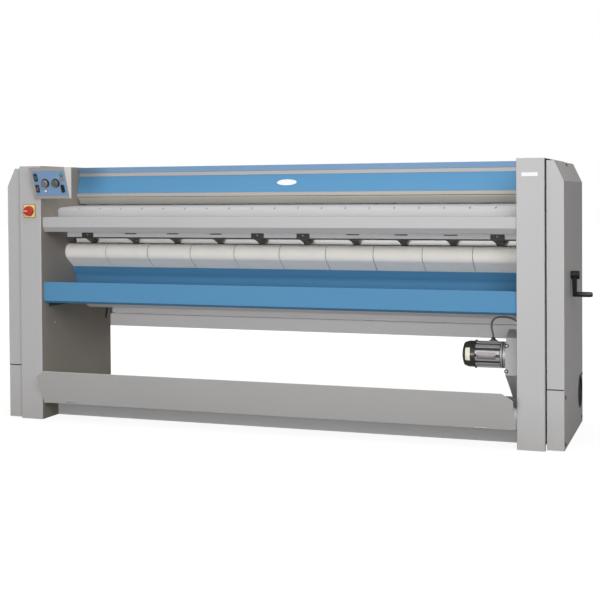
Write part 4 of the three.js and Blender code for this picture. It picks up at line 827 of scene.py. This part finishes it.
# Knobs: a dark moulded skirt, a fluted grey cap and a raised pointer. Each is pressed on its own shaft,
# which comes through the fascia.
skirt_black = plastic("knob_skirt_black", "1b2423", 0.4)
# The left cap is painted a lighter pinkish grey than the right one as a painted highlight.
cap_codes = {"knob_left": "a69b9d", "knob_right": "84837a"}
for node, x in (("knob_left", -19), ("knob_right", 36.3)):
    place = on_panel(x, 0.5)
    skirt = turned([(-0.0158, 0), (-0.0158, 0.003), (0.0003, 0.003), (0.0003, 0.0205), (0.0008, 0.021),
                    (0.0040, 0.021), (0.0052, 0.0198), (0.0052, 0)], place, 72)
    on_body(finished(f"{node}_skirt", skirt, skirt_black), node, [node])
    flutes = 28
    cap_outline = []
    for step in range(flutes * 4):
        turn = 2 * math.pi * step / (flutes * 4)
        reach = 0.0176 - (0.0009 if step % 4 in (0, 1) else 0.0)
        cap_outline.append((reach * math.cos(turn), reach * math.sin(turn)))
    cap = slab(cap_outline, 0.0050, 0.0117, place, 0.0)
    crown = turned([(0.0110, 0), (0.0110, 0.0166), (0.0119, 0.0166), (0.0126, 0.0158), (0.0128, 0.0148),
                    (0.0122, 0)], place, 72)
    pointer = slab(round_rect(0.0042, 0.0185, 0.0012, 3), 0.0116, 0.0130,
                   place @ Matrix.Translation((0, 0.0085, 0)), 0.0006)
    caps = finished(f"{node}_cap", joined(cap, crown, pointer),
                    brushed_metal(f"{node}_cap_satin", cap_codes[node], 0.38, (1, 1, 1), 500))
    on_body(caps, node)

# Rockers: a black capsule whose two halves slope down to the middle, with a coloured lens let into it.
# Each tips in a thin blue collar that is moulded on the fascia.
rocker_black = plastic("rocker_black_moulding", "1a2224", 0.28)
collar_blue = plastic("collar_blue", "6c8aa8", 0.35)
lens_codes = {"rocker_green": ("466e5a", "green_plastic"), "rocker_red": ("825046", "red_plastic"),
              "rocker_black": ("15181a", "black_plastic")}
rocker_places = {"rocker_green": (-65, 28), "rocker_red": (-66, -27), "rocker_black": (68.7, -28)}
for node, (x, up) in rocker_places.items():
    place = on_panel(x, up)
    outer, inner = round_rect(0.0224, 0.0424, 0.0050, 8), round_rect(0.0194, 0.0404, 0.0080, 8)
    collar = bmesh.new()
    rings = []
    for outline, height in ((outer, 0.0), (outer, 0.0008), (inner, 0.0014), (inner, 0.0)):
        rings.append([collar.verts.new(place @ Vector((*point, height))) for point in outline])
    skinned(collar, rings, True)
    on_body(finished(f"{node}_collar", collar, collar_blue), "root")
    body = slab(round_rect(0.0176, 0.0368, 0.0074, 8), -0.0012, 0.0044, Matrix.Identity(4))
    bmesh.ops.bisect_plane(body, geom=body.verts[:] + body.edges[:] + body.faces[:], plane_co=(0, 0, 0),
                           plane_no=(0, 1, 0), dist=1e-6)
    for corner in body.verts:
        if corner.co.z > 0 and abs(corner.co.y) < 1e-5:
            corner.co.z -= 0.0022
    rims = [line for line in body.edges if line.calc_face_angle(0) > math.radians(30)]
    bmesh.ops.bevel(body, geom=rims, offset=0.0009, segments=2, affect="EDGES", profile=0.5)
    bmesh.ops.transform(body, matrix=place, verts=body.verts)
    tail = slab(round_rect(0.0166, 0.0246, 0.0020, 4), -0.0105, -0.0010, place, 0.0005)
    on_body(finished(f"{node}_body", joined(body, tail), rocker_black), node, [node])
    code, slot = lens_codes[node]
    lens = slab(oval(0.0118, 0.0212, 40), 0.0016, 0.0043, place @ Matrix.Translation((0.0016, 0, 0)), 0.0008)
    on_body(finished(f"{node}_lens", lens, plastic(f"{node}_lens_glaze", code, 0.14)), node)

# Push button and lamps: a white moulded button, a green and an amber lens, each in a grey collar that is
# screwed into the fascia.
collar_grey = plastic("collar_grey", "5d666c", 0.35)
collars = []
for x, up, radius in ((-23.3, -38.7, 0.0088), (72.7, 39, 0.0092), (71.7, 19.5, 0.0092)):
    profile = [(0.0, radius - 0.0014), (0.0, radius), (0.0016, radius), (0.0022, radius - 0.0006),
               (0.0022, radius - 0.0014)]
    collars.append(turned(profile, on_panel(x, up), 48, True))
lamp_stem = [(-0.0160, 0), (-0.0160, 0.0048), (0.0003, 0.0048), (0.0003, 0.0074), (0.0022, 0.0074),
             (0.0022, 0)]
for x, up in ((72.7, 39), (71.7, 19.5)):
    collars.append(turned(lamp_stem, on_panel(x, up), 32))
on_body(finished("lamp_collars", joined(*collars), collar_grey), "root", ["indicator_lamps"])
lens_profile = [(0.0018, 0), (0.0018, 0.0076), (0.0030, 0.0075), (0.0046, 0.0064), (0.0058, 0.0044),
                (0.0064, 0.0020), (0.0065, 0)]
for name, code, slot, x, up in (("lamp_green_lens", "508c6e", "green_plastic", 72.7, 39),
                                ("lamp_amber_lens", "b98264", "lamp_plastic", 71.7, 19.5)):
    shape = turned(lens_profile, on_panel(x, up), 48)
    on_body(finished(name, shape, plastic(f"{name}_glaze", code, 0.12)), "root")
button_profile = [(-0.0105, 0), (-0.0105, 0.0066), (0.0050, 0.0066), (0.0058, 0.0060), (0.0060, 0.0046),
                  (0.0054, 0)]
button = finished("push_button_cap", turned(button_profile, on_panel(-23.3, -38.7), 48),
                  plastic("button_white", "e4e6ec", 0.25))
on_body(button, "push_button", ["push_button"])

# Main switch: a yellow plate on an olive back plate, the switch body behind the column, and the red
# handle with its lever. The olive that shows round the yellow face is painted shade of the plate's edges.
switch_x, switch_z = -1177, 987.48
switch_place = towards_front(switch_x, 0, switch_z)
olive = plastic("olive_back_plate", "8a7a35", 0.45)
back_plate = slab(round_rect(0.063, 0.065, 0.003), 0.0003, 0.0024, switch_place, 0.0006)
body_box = slab(round_rect(0.051, 0.051, 0.003), -0.0593, -0.0033, switch_place, 0.001)
neck = turned([(-0.0040, 0), (-0.0040, 0.012), (0.0010, 0.012), (0.0010, 0)], switch_place, 48)
on_body(finished("main_switch_back", joined(back_plate, body_box, neck), olive), "root",
        ["main_switch"])
yellow_face = slab(round_rect(0.0565, 0.0585, 0.0025), 0.0022, 0.0038, switch_place, 0.0005)
on_body(finished("main_switch_face", yellow_face, plastic("signal_yellow", "ecd591", 0.4)), "root")
red = plastic("signal_red", "b02a12", 0.4)
dial_profile = [(-0.0258, 0), (-0.0258, 0.005), (0.0041, 0.005), (0.0041, 0.0240), (0.0048, 0.0245),
                (0.0138, 0.0236), (0.0156, 0.0220), (0.0161, 0.0190), (0.0161, 0)]
dial = finished("main_switch_dial", turned(dial_profile, switch_place, 72), red)
on_body(dial, "main_switch_handle", ["main_switch_handle"])
beak_outline = [(-0.0325, -0.0022), (-0.0325, 0.0022), (-0.0310, 0.0038), (-0.0100, 0.0220), (0.0, 0.0150),
                (0.0, -0.0150), (-0.0100, -0.0220), (-0.0310, -0.0038)]
beak = finished("main_switch_beak", slab(beak_outline, 0.0052, 0.0152, switch_place, 0.0010), red)
on_body(beak, "main_switch_handle")
# The light pink raised strip along the lever is a painted highlight.
highlight_ridge = slab(round_rect(0.0270, 0.0060, 0.0024), 0.0140, 0.0186,
             switch_place @ Matrix.Translation((-0.0165, 0, 0)), 0.0010)
on_body(finished("main_switch_ridge", highlight_ridge, plastic("ridge_pink", "e8a890", 0.34)), "main_switch_handle")

# Scraper comb: ten sloping brackets with drawn-in sides on a thin bar, welded from dark coated steel.
# Four bolted plates hold it to the beam. A node tree sets a copy of the bracket at each marked place.
place_tree = node_tree("copies_on_places", [("Original", "NodeSocketObject"),
                                            ("Finish", "NodeSocketMaterial")])
place_in = wire(place_tree, "NodeGroupInput")
place_original = wire(place_tree, "GeometryNodeObjectInfo", [(place_in, "Original", "Object")])
place_turn = wire(place_tree, "GeometryNodeInputNamedAttribute", data_type="FLOAT_VECTOR",
                  values={"Name": "turn"})
place_rotation = wire(place_tree, "FunctionNodeEulerToRotation", [(place_turn, "Attribute", "Euler")])
place_copies = wire(place_tree, "GeometryNodeInstanceOnPoints",
                    [(place_in, "Geometry", "Points"), (place_original, "Geometry", "Instance"),
                     (place_rotation, "Rotation", "Rotation")])
end_tree(place_tree, place_in, place_copies)


def copies(name, original, places, material):
    """Copies of an original, one at each place: a matrix, or a point and the way it faces."""
    matrices = []
    for place in places:
        if not isinstance(place, Matrix):
            point, facing = place
            place = Matrix.Translation(point) @ Vector(facing).to_track_quat("Z", "Y").to_matrix().to_4x4()
        matrices.append(place)
    mesh = bpy.data.meshes.new(name)
    mesh.from_pydata([matrix.translation for matrix in matrices], [], [])
    turns = mesh.attributes.new("turn", "FLOAT_VECTOR", "POINT")
    for index, matrix in enumerate(matrices):
        turns.data[index].vector = matrix.to_euler()
    made = grown(name, place_tree, {"Original": original, "Finish": material}, mesh)
    bpy.data.objects.remove(original)
    return made


comb_dark = powder_coat("comb_dark_coat", "3d3b35", 0.55)
bracket_grey = powder_coat("comb_bracket_coat", "6e6c65", 0.55)
held_places = [-1003.96, -114.04, 109.56, 999.49]
comb_places = held_places + [-771.6, -548.0, -324.4, 346.4, 570.0, 793.6]
comb_depth, comb_drop = 53, 30.2
comb_length = math.hypot(comb_depth, comb_drop) / 1000
comb_lean = math.atan2(comb_depth, comb_drop)
side_line = []
for step in range(17):
    share = step / 16
    side_line.append((0.0130 + 0.0210 * (1 - share) ** 3, -comb_length * share))
bracket_outline = side_line + [(-x, y) for x, y in reversed(side_line)]
bracket_place = towards_front(walls_offset, 247, 855.24, comb_lean)
bracket = slab(bracket_outline, -0.003, 0.0, bracket_place, 0.0006)
bracket = finished("bracket_pattern", bracket, bracket_grey)
bracket_spots = [Matrix.Translation((at(x, 0, 0).x, 0, 0)) for x in comb_places]
brackets = copies("comb_brackets", bracket, bracket_spots, bracket_grey)
on_body(brackets, "root")


def bar(x, y, z, edge):
    """A bar between pairs of millimetre limits, its long edges rounded over."""
    low, high = at(x[0], y[0], z[0]), at(x[1], y[1], z[1])
    middle, size = (low + high) / 2, high - low
    outline = [(-size.x / 2, -size.y / 2), (size.x / 2, -size.y / 2), (size.x / 2, size.y / 2),
               (-size.x / 2, size.y / 2)]
    return slab(outline, -size.z / 2, size.z / 2, Matrix.Translation(middle), edge)


comb_parts = [bar((-1117.7, 1117.7), (240, 255), (850.7, 856.7), 0.0008),
              bar((-1117.7, 1117.7), (297.5, 302.5), (820.04, 826.54), 0.001)]
boss_profile = [(0.0, 0), (0.0, 0.0125), (0.0055, 0.0125), (0.0065, 0.0115), (0.0065, 0)]
for x in held_places:
    comb_parts.append(slab(round_rect(0.062, 0.025, 0.003, 4), 0.0, 0.0025, towards_front(x, 239.7, 866),
                           0.0004))
    comb_parts.append(turned(boss_profile, towards_front(x + 14, 282, 841), 40))
# Dark bars behind the beam's slots are painted shadow inside the slots.
slot_shadow_backs = [bar((x - 33, x + 33), (243.6, 244.4), (869.5, 878.5), 0.0) for x in comb_places[4:]]
slot_shadow = plastic("slot_shadow", "30302d", 0.7)
on_body(finished("beam_slot_backs", joined(*slot_shadow_backs), slot_shadow), "root")
on_body(finished("comb_strips", joined(*comb_parts), comb_dark), "root", ["scraper_comb"])

# Drive: a gear unit and sprockets inside, the finned aluminium motor on the housing, and a black fan
# cowl over the fan. The grooves between the fins are painted dark as painted shade.
cast_grey = plastic("cast_grey_paint", "8e9093", 0.55, 160, 0.0002)
motor_start = at(914.3, motor_plane, 362)
motor_metal = Finish("motor_aluminium", metallic=0.5)
motor_y, motor_z = motor_metal.axes()[1:]
motor_y, motor_z = motor_y - motor_start.y, motor_z - motor_start.z
motor_square = motor_y * motor_y + motor_z * motor_z
motor_reach = motor_square.maths("SQRT", motor_square)
motor_cloud = motor_metal.noise(240, 3)
# Dark in the grooves between the fins: painted shade.
motor_groove_shade = motor_reach.within(0.0512, 0.0545)
motor_bare = motor_metal.mix(motor_reach.within(0.0584, 0.0590), shade("aaa9aa"), shade("4c4b4a"))
motor_metal.feed(base_color=motor_metal.mix(motor_groove_shade, shade("45433f"), motor_bare))
motor_metal.feed(roughness=0.42 + motor_cloud * 0.16)
motor_metal.bump(motor_cloud, 0.00012)


def lengthwise(point):
    """A place whose local Z runs along the machine and whose local X and Y are its Y and Z."""
    turn = Matrix(((0, 0, 1, 0), (1, 0, 0, 0), (0, 1, 0, 0), (0, 0, 0, 1)))
    return Matrix.Translation(point) @ turn


fin_count, fin_outline = 12, []
fin_half = math.pi / fin_count * 0.55
for index in range(fin_count):
    middle = 2 * math.pi * (index + 0.5) / fin_count
    for radius, aside in ((0.0500, -1.12), (0.0570, -1.0), (0.0575, -0.9), (0.0575, -0.3), (0.0575, 0.3),
                          (0.0575, 0.9), (0.0570, 1.0), (0.0500, 1.12)):
        turn = middle + aside * fin_half
        fin_outline.append((radius * math.cos(turn), radius * math.sin(turn)))
motor_place = lengthwise(motor_start)
shield_profile = [(0.1030, 0.009), (0.1030, 0.0500), (0.1080, 0.0500), (0.1080, 0.0565), (0.1090, 0.0575),
                  (0.1150, 0.0575), (0.1160, 0.0565), (0.1160, 0.0500), (0.1190, 0.0500), (0.1190, 0.0560),
                  (0.1198, 0.0569), (0.1345, 0.0569), (0.1352, 0.0562), (0.1352, 0.009)]
motor_parts = [slab(fin_outline, 0.0, 0.1060, motor_place, 0.0007),
               turned(shield_profile, motor_place, 96, True),
               bar((969, 1001), (200, 228), (408, 423.6), 0.004)]
on_body(finished("motor_body", joined(*motor_parts), motor_metal.material), "root",
        ["drive_motor"])
cowl_black = powder_coat("cowl_black_coat", "383833", 0.24)
cowl_place = lengthwise((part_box("fan_cowl")[0].x, motor_start.y, motor_start.z))
cowl_outer = [(0.0, 0.0), (0.0, 0.0325), (0.0010, 0.0350), (0.0052, 0.0482), (0.0085, 0.0508),
              (0.0225, 0.0554), (0.0265, 0.0565), (0.0510, 0.0565), (0.0520, 0.0575), (0.0520, 0.0607),
              (0.0528, 0.0615), (0.0566, 0.0615), (0.0574, 0.0607)]
cowl_inner = [(0.0574, 0.0585), (0.0555, 0.0585), (0.0555, 0.0535), (0.0260, 0.0535), (0.0085, 0.0470),
              (0.0030, 0.0310), (0.0030, 0.0)]
cowl = finished("fan_cowl_pressed", turned(cowl_outer + cowl_inner, cowl_place, 96), cowl_black)
vent_cutters = []
for index in range(6):
    turn = 2 * math.pi * index / 6
    place = cowl_place @ Matrix.Translation((0.022 * math.cos(turn), 0.022 * math.sin(turn), 0))
    vent_cutters.append(turned([(-0.01, 0), (-0.01, 0.005), (0.01, 0.005), (0.01, 0)], place, 24))
on_body(drilled(cowl, vent_cutters, cowl_black), "root", ["fan_cowl"])

# Two bare plates are bent round the drive: a pale one on the front of the cowl, and the motor's own one,
# which lies over the fins and is held by two rivets.


def bent_plate(rows, place, start, sweep, steps, thickness):
    """A thin plate bent round the local Z of a place: rows are pairs of height and radius."""
    shape = bmesh.new()
    turns = [math.radians(start + sweep * step / steps) for step in range(steps + 1)]
    lines = [[shape.verts.new(place @ Vector((radius * math.cos(turn), radius * math.sin(turn), height)))
              for turn in turns] for height, radius in rows]
    for first, second in zip(lines, lines[1:]):
        for step in range(steps):
            shape.faces.new([first[step], first[step + 1], second[step + 1], second[step]])
    bmesh.ops.recalc_face_normals(shape, faces=shape.faces)
    bmesh.ops.solidify(shape, geom=shape.faces[:], thickness=thickness)
    return shape


cowl_rows = [(0.0155, 0.0536), (0.0190, 0.0547), (0.0225, 0.0559), (0.0265, 0.0570), (0.0360, 0.0570)]
cowl_plate = finished("cowl_plate", bent_plate(cowl_rows, cowl_place, 146, 58, 16, 0.0004),
                      plastic("pale_yellow_film", "f2f1dc", 0.35))
on_body(cowl_plate, "root")
motor_rows = [(0.0070, 0.0577), (0.0900, 0.0577)]
motor_plate = finished("motor_plate", bent_plate(motor_rows, motor_place, 165, 30, 10, 0.0005),
                       brushed_metal("plate_aluminium", "7d777a", 0.5, (0.1, 1, 1), 500))
on_body(motor_plate, "root")
softened("motor_fan", brushed_metal("fan_aluminium", "a9abad", 0.4, (1, 1, 1)), 0.0004)
softened("gear_unit", cast_grey, 0.002)

# Cable gland and grommet: a black moulded hexagon nut with a rounded cap, screwed into the motor, and a
# rubber ring pressed into the hole in the wall.
gland_place = Matrix.Translation(at(985, motor_plane, 424.3))
gland_cap = turned([(0.0045, 0), (0.0045, 0.0086), (0.0062, 0.0086), (0.0105, 0.0070), (0.0126, 0.0056),
                    (0.0130, 0.0047), (0.0130, 0)], gland_place, 48)
gland_nut = slab(oval(0.022, 0.022, 6), 0.0, 0.0052, gland_place, 0.0005)
gland_black = plastic("gland_black", "1a1b1c", 0.42)
on_body(finished("cable_gland_moulded", joined(gland_nut, gland_cap), gland_black), "root",
        ["cable_gland"])
grommet_place = lengthwise(at(1109.7, motor_plane, 498))
grommet_profile = [(0.0, 0.0045), (0.0, 0.0078), (0.0012, 0.0090), (0.0070, 0.0090), (0.0080, 0.0084),
                   (0.0080, 0.0056), (0.0170, 0.0056), (0.0170, 0.0045)]
on_body(finished("lead_grommet_moulded", turned(grommet_profile, grommet_place, 48, True),
                 plastic("grommet_rubber", "232325", 0.75)), "root", ["lead_grommet"])

# Sprockets and chains: hardened steel sprockets and black oiled chains. They run behind the right end
# wall, from the gear unit and the crank to the cylinder.
black_oxide = Finish("black_oxide_steel", metallic=0.6, base_color=shade("1b1b1d"))
black_oxide_cloud = black_oxide.noise(260, 2)
black_oxide.feed(roughness=0.38 + black_oxide_cloud * 0.2)
black_oxide.bump(black_oxide_cloud, 0.00004)
oiled = brushed_metal("oiled_steel", "6f6f6d", 0.34, (1, 1, 1), 300)
softened("drive_sprocket", oiled, 0.0004)
for node in ("drive_chain", "hand_chain"):
    softened(node, black_oxide.material, 0.0008)

# Cylinder bearings and heater: cast housings bolted to the walls, and steel-sheathed heating rods round
# a fixed pipe inside the cylinder.
for node in ("cylinder_bearing_right", "cylinder_bearing_left"):
    softened(node, cast_grey, 0.0015)
heater_sheath = brushed_metal("heater_sheath_steel", "9a9691", 0.4, (0.05, 1, 1))
softened("heater_bundle", heater_sheath, 0.0006)

# Switchgear: contactors in grey moulded housings, clipped on a plate that is screwed inside the left
# frame.
softened("switchgear", plastic("switchgear_grey", "9fa1a2", 0.45), 0.0012)

# Hand crank: a turned hub and shaft with a forged arm, painted black, and a smooth moulded grip that
# turns on its pin.
crank_y, crank_z, arm_drop = 250, 708, 82
crank_black = powder_coat("crank_black_coat", "0e0c0a", 0.42)
shaft_profile = [(0.0, 0), (0.0, 0.010), (0.066, 0.010), (0.066, 0.0292), (0.0668, 0.030), (0.0732, 0.030),
                 (0.074, 0.0292), (0.074, 0.010), (0.189, 0.010), (0.189, 0.0170), (0.190, 0.018),
                 (0.2222, 0.018), (0.2235, 0.0165), (0.2235, 0.0060), (0.2222, 0.0052), (0.2222, 0)]
shaft = turned(shaft_profile, lengthwise(at(1122, crank_y, crank_z)), 72)
arm_outline = []
for radius, middle, start in ((0.015, 0.0, 0), (0.011, -arm_drop / 1000, 180)):
    for step in range(25):
        turn = math.radians(start + 180 * step / 24)
        arm_outline.append((radius * math.cos(turn), middle + radius * math.sin(turn)))
arm = slab(arm_outline, 0.0, 0.0205, lengthwise(at(1314.5, crank_y, crank_z)), 0.002)
arm_middle = at(1324.75, crank_y, crank_z).x
for corner in arm.verts:
    down = min(max((crank_z - corner.co.z * 1000) / arm_drop, 0.0), 1.0)
    corner.co.x = arm_middle + 0.0009 * down + (corner.co.x - arm_middle) * (1 - 0.16 * down)
pin_place = lengthwise(at(1318, crank_y, crank_z - arm_drop))
pin = turned([(0.010, 0), (0.010, 0.005), (0.0735, 0.005), (0.0735, 0)], pin_place, 32)
on_body(finished("hand_crank_painted", joined(shaft, arm, pin), crank_black), "crank",
        ["hand_crank"])
grip_profile = [(0.0168, 0.0056), (0.0168, 0.0092), (0.0183, 0.0104), (0.0300, 0.0113), (0.0480, 0.0115),
                (0.0660, 0.0113), (0.0780, 0.0103), (0.0815, 0.0076), (0.0823, 0.0), (0.0743, 0.0),
                (0.0743, 0.0056)]
on_body(finished("crank_grip_moulded", turned(grip_profile, pin_place, 64, True),
                 plastic("grip_black", "181818", 0.32)), "crank_grip", ["crank_grip"])

# Vent guard: a black moulded ring with six upright bars. It is snapped into the round hole in the right
# lower cover.
vent_place = lengthwise(at(1309, 599, 159))
vent_profile = [(-0.0057, 0.0677), (-0.0057, 0.0707), (0.0003, 0.0707), (0.0003, 0.0765), (0.0008, 0.0770),
                (0.0017, 0.0770), (0.0025, 0.0762), (0.0025, 0.0684), (0.0018, 0.0677)]
vent_parts = [turned(vent_profile, vent_place, 96, True)]
vent_opening, vent_bars = 0.0677, 6
for index in range(vent_bars):
    aside = ((index + 0.5) / vent_bars - 0.5) * 2 * vent_opening
    half = math.sqrt((vent_opening + 0.0015) ** 2 - aside ** 2)
    near, far = aside - 0.0025, aside + 0.0025
    vent_parts.append(slab([(near, -half), (far, -half), (far, half), (near, half)], -0.0057, -0.0027,
                           vent_place, 0.0008))
on_body(finished("vent_guard_moulded", joined(*vent_parts), plastic("vent_black", "161513", 0.45)), "root",
        ["vent_guard"])

# Screws: black button heads on the side covers and bright ones elsewhere. Each head is one turned
# shape with a round socket. Those of the left lower cover, which stands near a wall, are sunk in.


def button_head(radius, height, socket_radius):
    """A low domed head with a round socket, facing up its local Z."""
    dome = [(0, radius)]
    for index in range(1, 6):
        angle = math.radians(90) * index / 5
        dome.append((height * math.sin(angle) * 0.92 + height * 0.08,
                     socket_radius + (radius - socket_radius) * math.cos(angle)))
    return turned([(0, 0), *dome, (height * 0.35, socket_radius * 0.92), (height * 0.35, 0)],
                  Matrix.Identity(4), 30)


zinc_plate = Finish("zinc_plated_steel", metallic=1.0)
zinc_cloud = zinc_plate.noise(180, 3)
zinc_plate.feed(base_color=zinc_plate.mix(zinc_cloud, shade("c9cbcc"), shade("e4e5e4")))
zinc_plate.feed(roughness=0.24 + zinc_cloud * 0.16)
zinc_plate.bump(zinc_cloud, 0.00003)
def set_screws(name, head, places, material):
    """Copies of one head on marked places, each a point and the way it faces."""
    pattern = finished("screw_pattern", head, material)
    on_body(copies(name, pattern, places, material), "root")


cover_screws, sunk_holes = [], []
screw_coat = plastic("black_screw_coat", "060606", 0.6)
cover_faces = ((1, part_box("side_cover_right")[1].x, 0.0), (-1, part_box("side_cover_left")[0].x, 0.0033))
for side, face, sink in cover_faces:
    for y, z in ((54, 217), (46, 26), (672, 31), (681, 226)):
        spot = at(0, y, z)
        spot.x = face - side * sink
        cover_screws.append((spot, (side, 0, 0)))
        if sink:
            hole = Matrix.Translation(spot) @ Matrix.Rotation(math.radians(90), 4, "Y")
            sunk_holes.append(turned([(-0.006, 0), (-0.006, 0.0090), (0.006, 0.0090), (0.006, 0)], hole, 32))
    chamfer_middle = at(0, 391, 1177.9)
    chamfer_middle.x = face - side * 0.0343
    cover_screws.append((chamfer_middle, Vector((side * 85, 0, 40)).normalized()))
softened("lower_cover_left", frame_grey, cutters=sunk_holes)
set_screws("cover_screws", button_head(0.0085, 0.0032, 0.0034), cover_screws, screw_coat)
comb_screws = [(at(x, 237.2, 869.5), (0, -1, 0)) for x in held_places]
set_screws("comb_screws", button_head(0.0050, 0.0026, 0.0020), comb_screws,
           brushed_metal("dull_screw_steel", "8f8d88", 0.45, (1, 1, 1), 300))
housing_bolts = [(at(1054.5, 141.3, 410.5), (0, -87, 23)), (at(1054.2, 126.2, 303.5), (0, -1, 0))]
washer_profile = [(0.0, 0.0030), (0.0, 0.0086), (0.0010, 0.0086), (0.0010, 0.0030)]
washer = turned(washer_profile, Matrix.Identity(4), 32, True)
set_screws("housing_washers", washer, housing_bolts, screw_coat)
set_screws("housing_bolts", button_head(0.0048, 0.0042, 0.0022), housing_bolts, zinc_plate.material)
set_screws("wall_rivet", button_head(0.0040, 0.0020, 0.0015), [(at(-1118, 118.9, 450.3), (1, 0, 0))],
           zinc_plate.material)
plate_rivets = [motor_place @ Matrix.Translation((-0.0580, 0, x)) @ Matrix.Rotation(math.radians(-90), 4, "Y")
                for x in (0.0120, 0.0850)]
set_screws("plate_rivets", button_head(0.0026, 0.0012, 0.0008), plate_rivets, screw_coat)

# Wall plug: an oblong rubber plug closes a slot near the back edge of each end wall. A black strip under
# the slots of the feed table is painted shadow inside the slots.
plug_rubber = plastic("plug_rubber", "0c0b0b", 0.6)
plugs = []
for side in (-1, 1):
    place = lengthwise(at(side * 1118, 628, 447.5)) @ Matrix.Rotation(math.radians(-20.9), 4, "Z")
    plugs.append(slab(round_rect(0.013, 0.056, 0.006, 6), *sorted((0.0, -side * 0.0014)), place, 0.0003))
on_body(finished("wall_plugs", joined(*plugs), plug_rubber), "root")
strip_place = at(0, 167.5, 0)
strip_place.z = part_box("feed_table_top")[1].z - 0.0135
strip_place = Matrix.Translation(strip_place) @ Matrix.Rotation(math.atan2(11, 25), 4, "X")
strip_outline = [(-1.10, -0.0115), (1.10, -0.0115), (1.10, 0.0115), (-1.10, 0.0115)]
strip = slab(strip_outline, -0.0040, -0.0029, strip_place)
on_body(finished("slot_strip", strip, plug_rubber), "root")
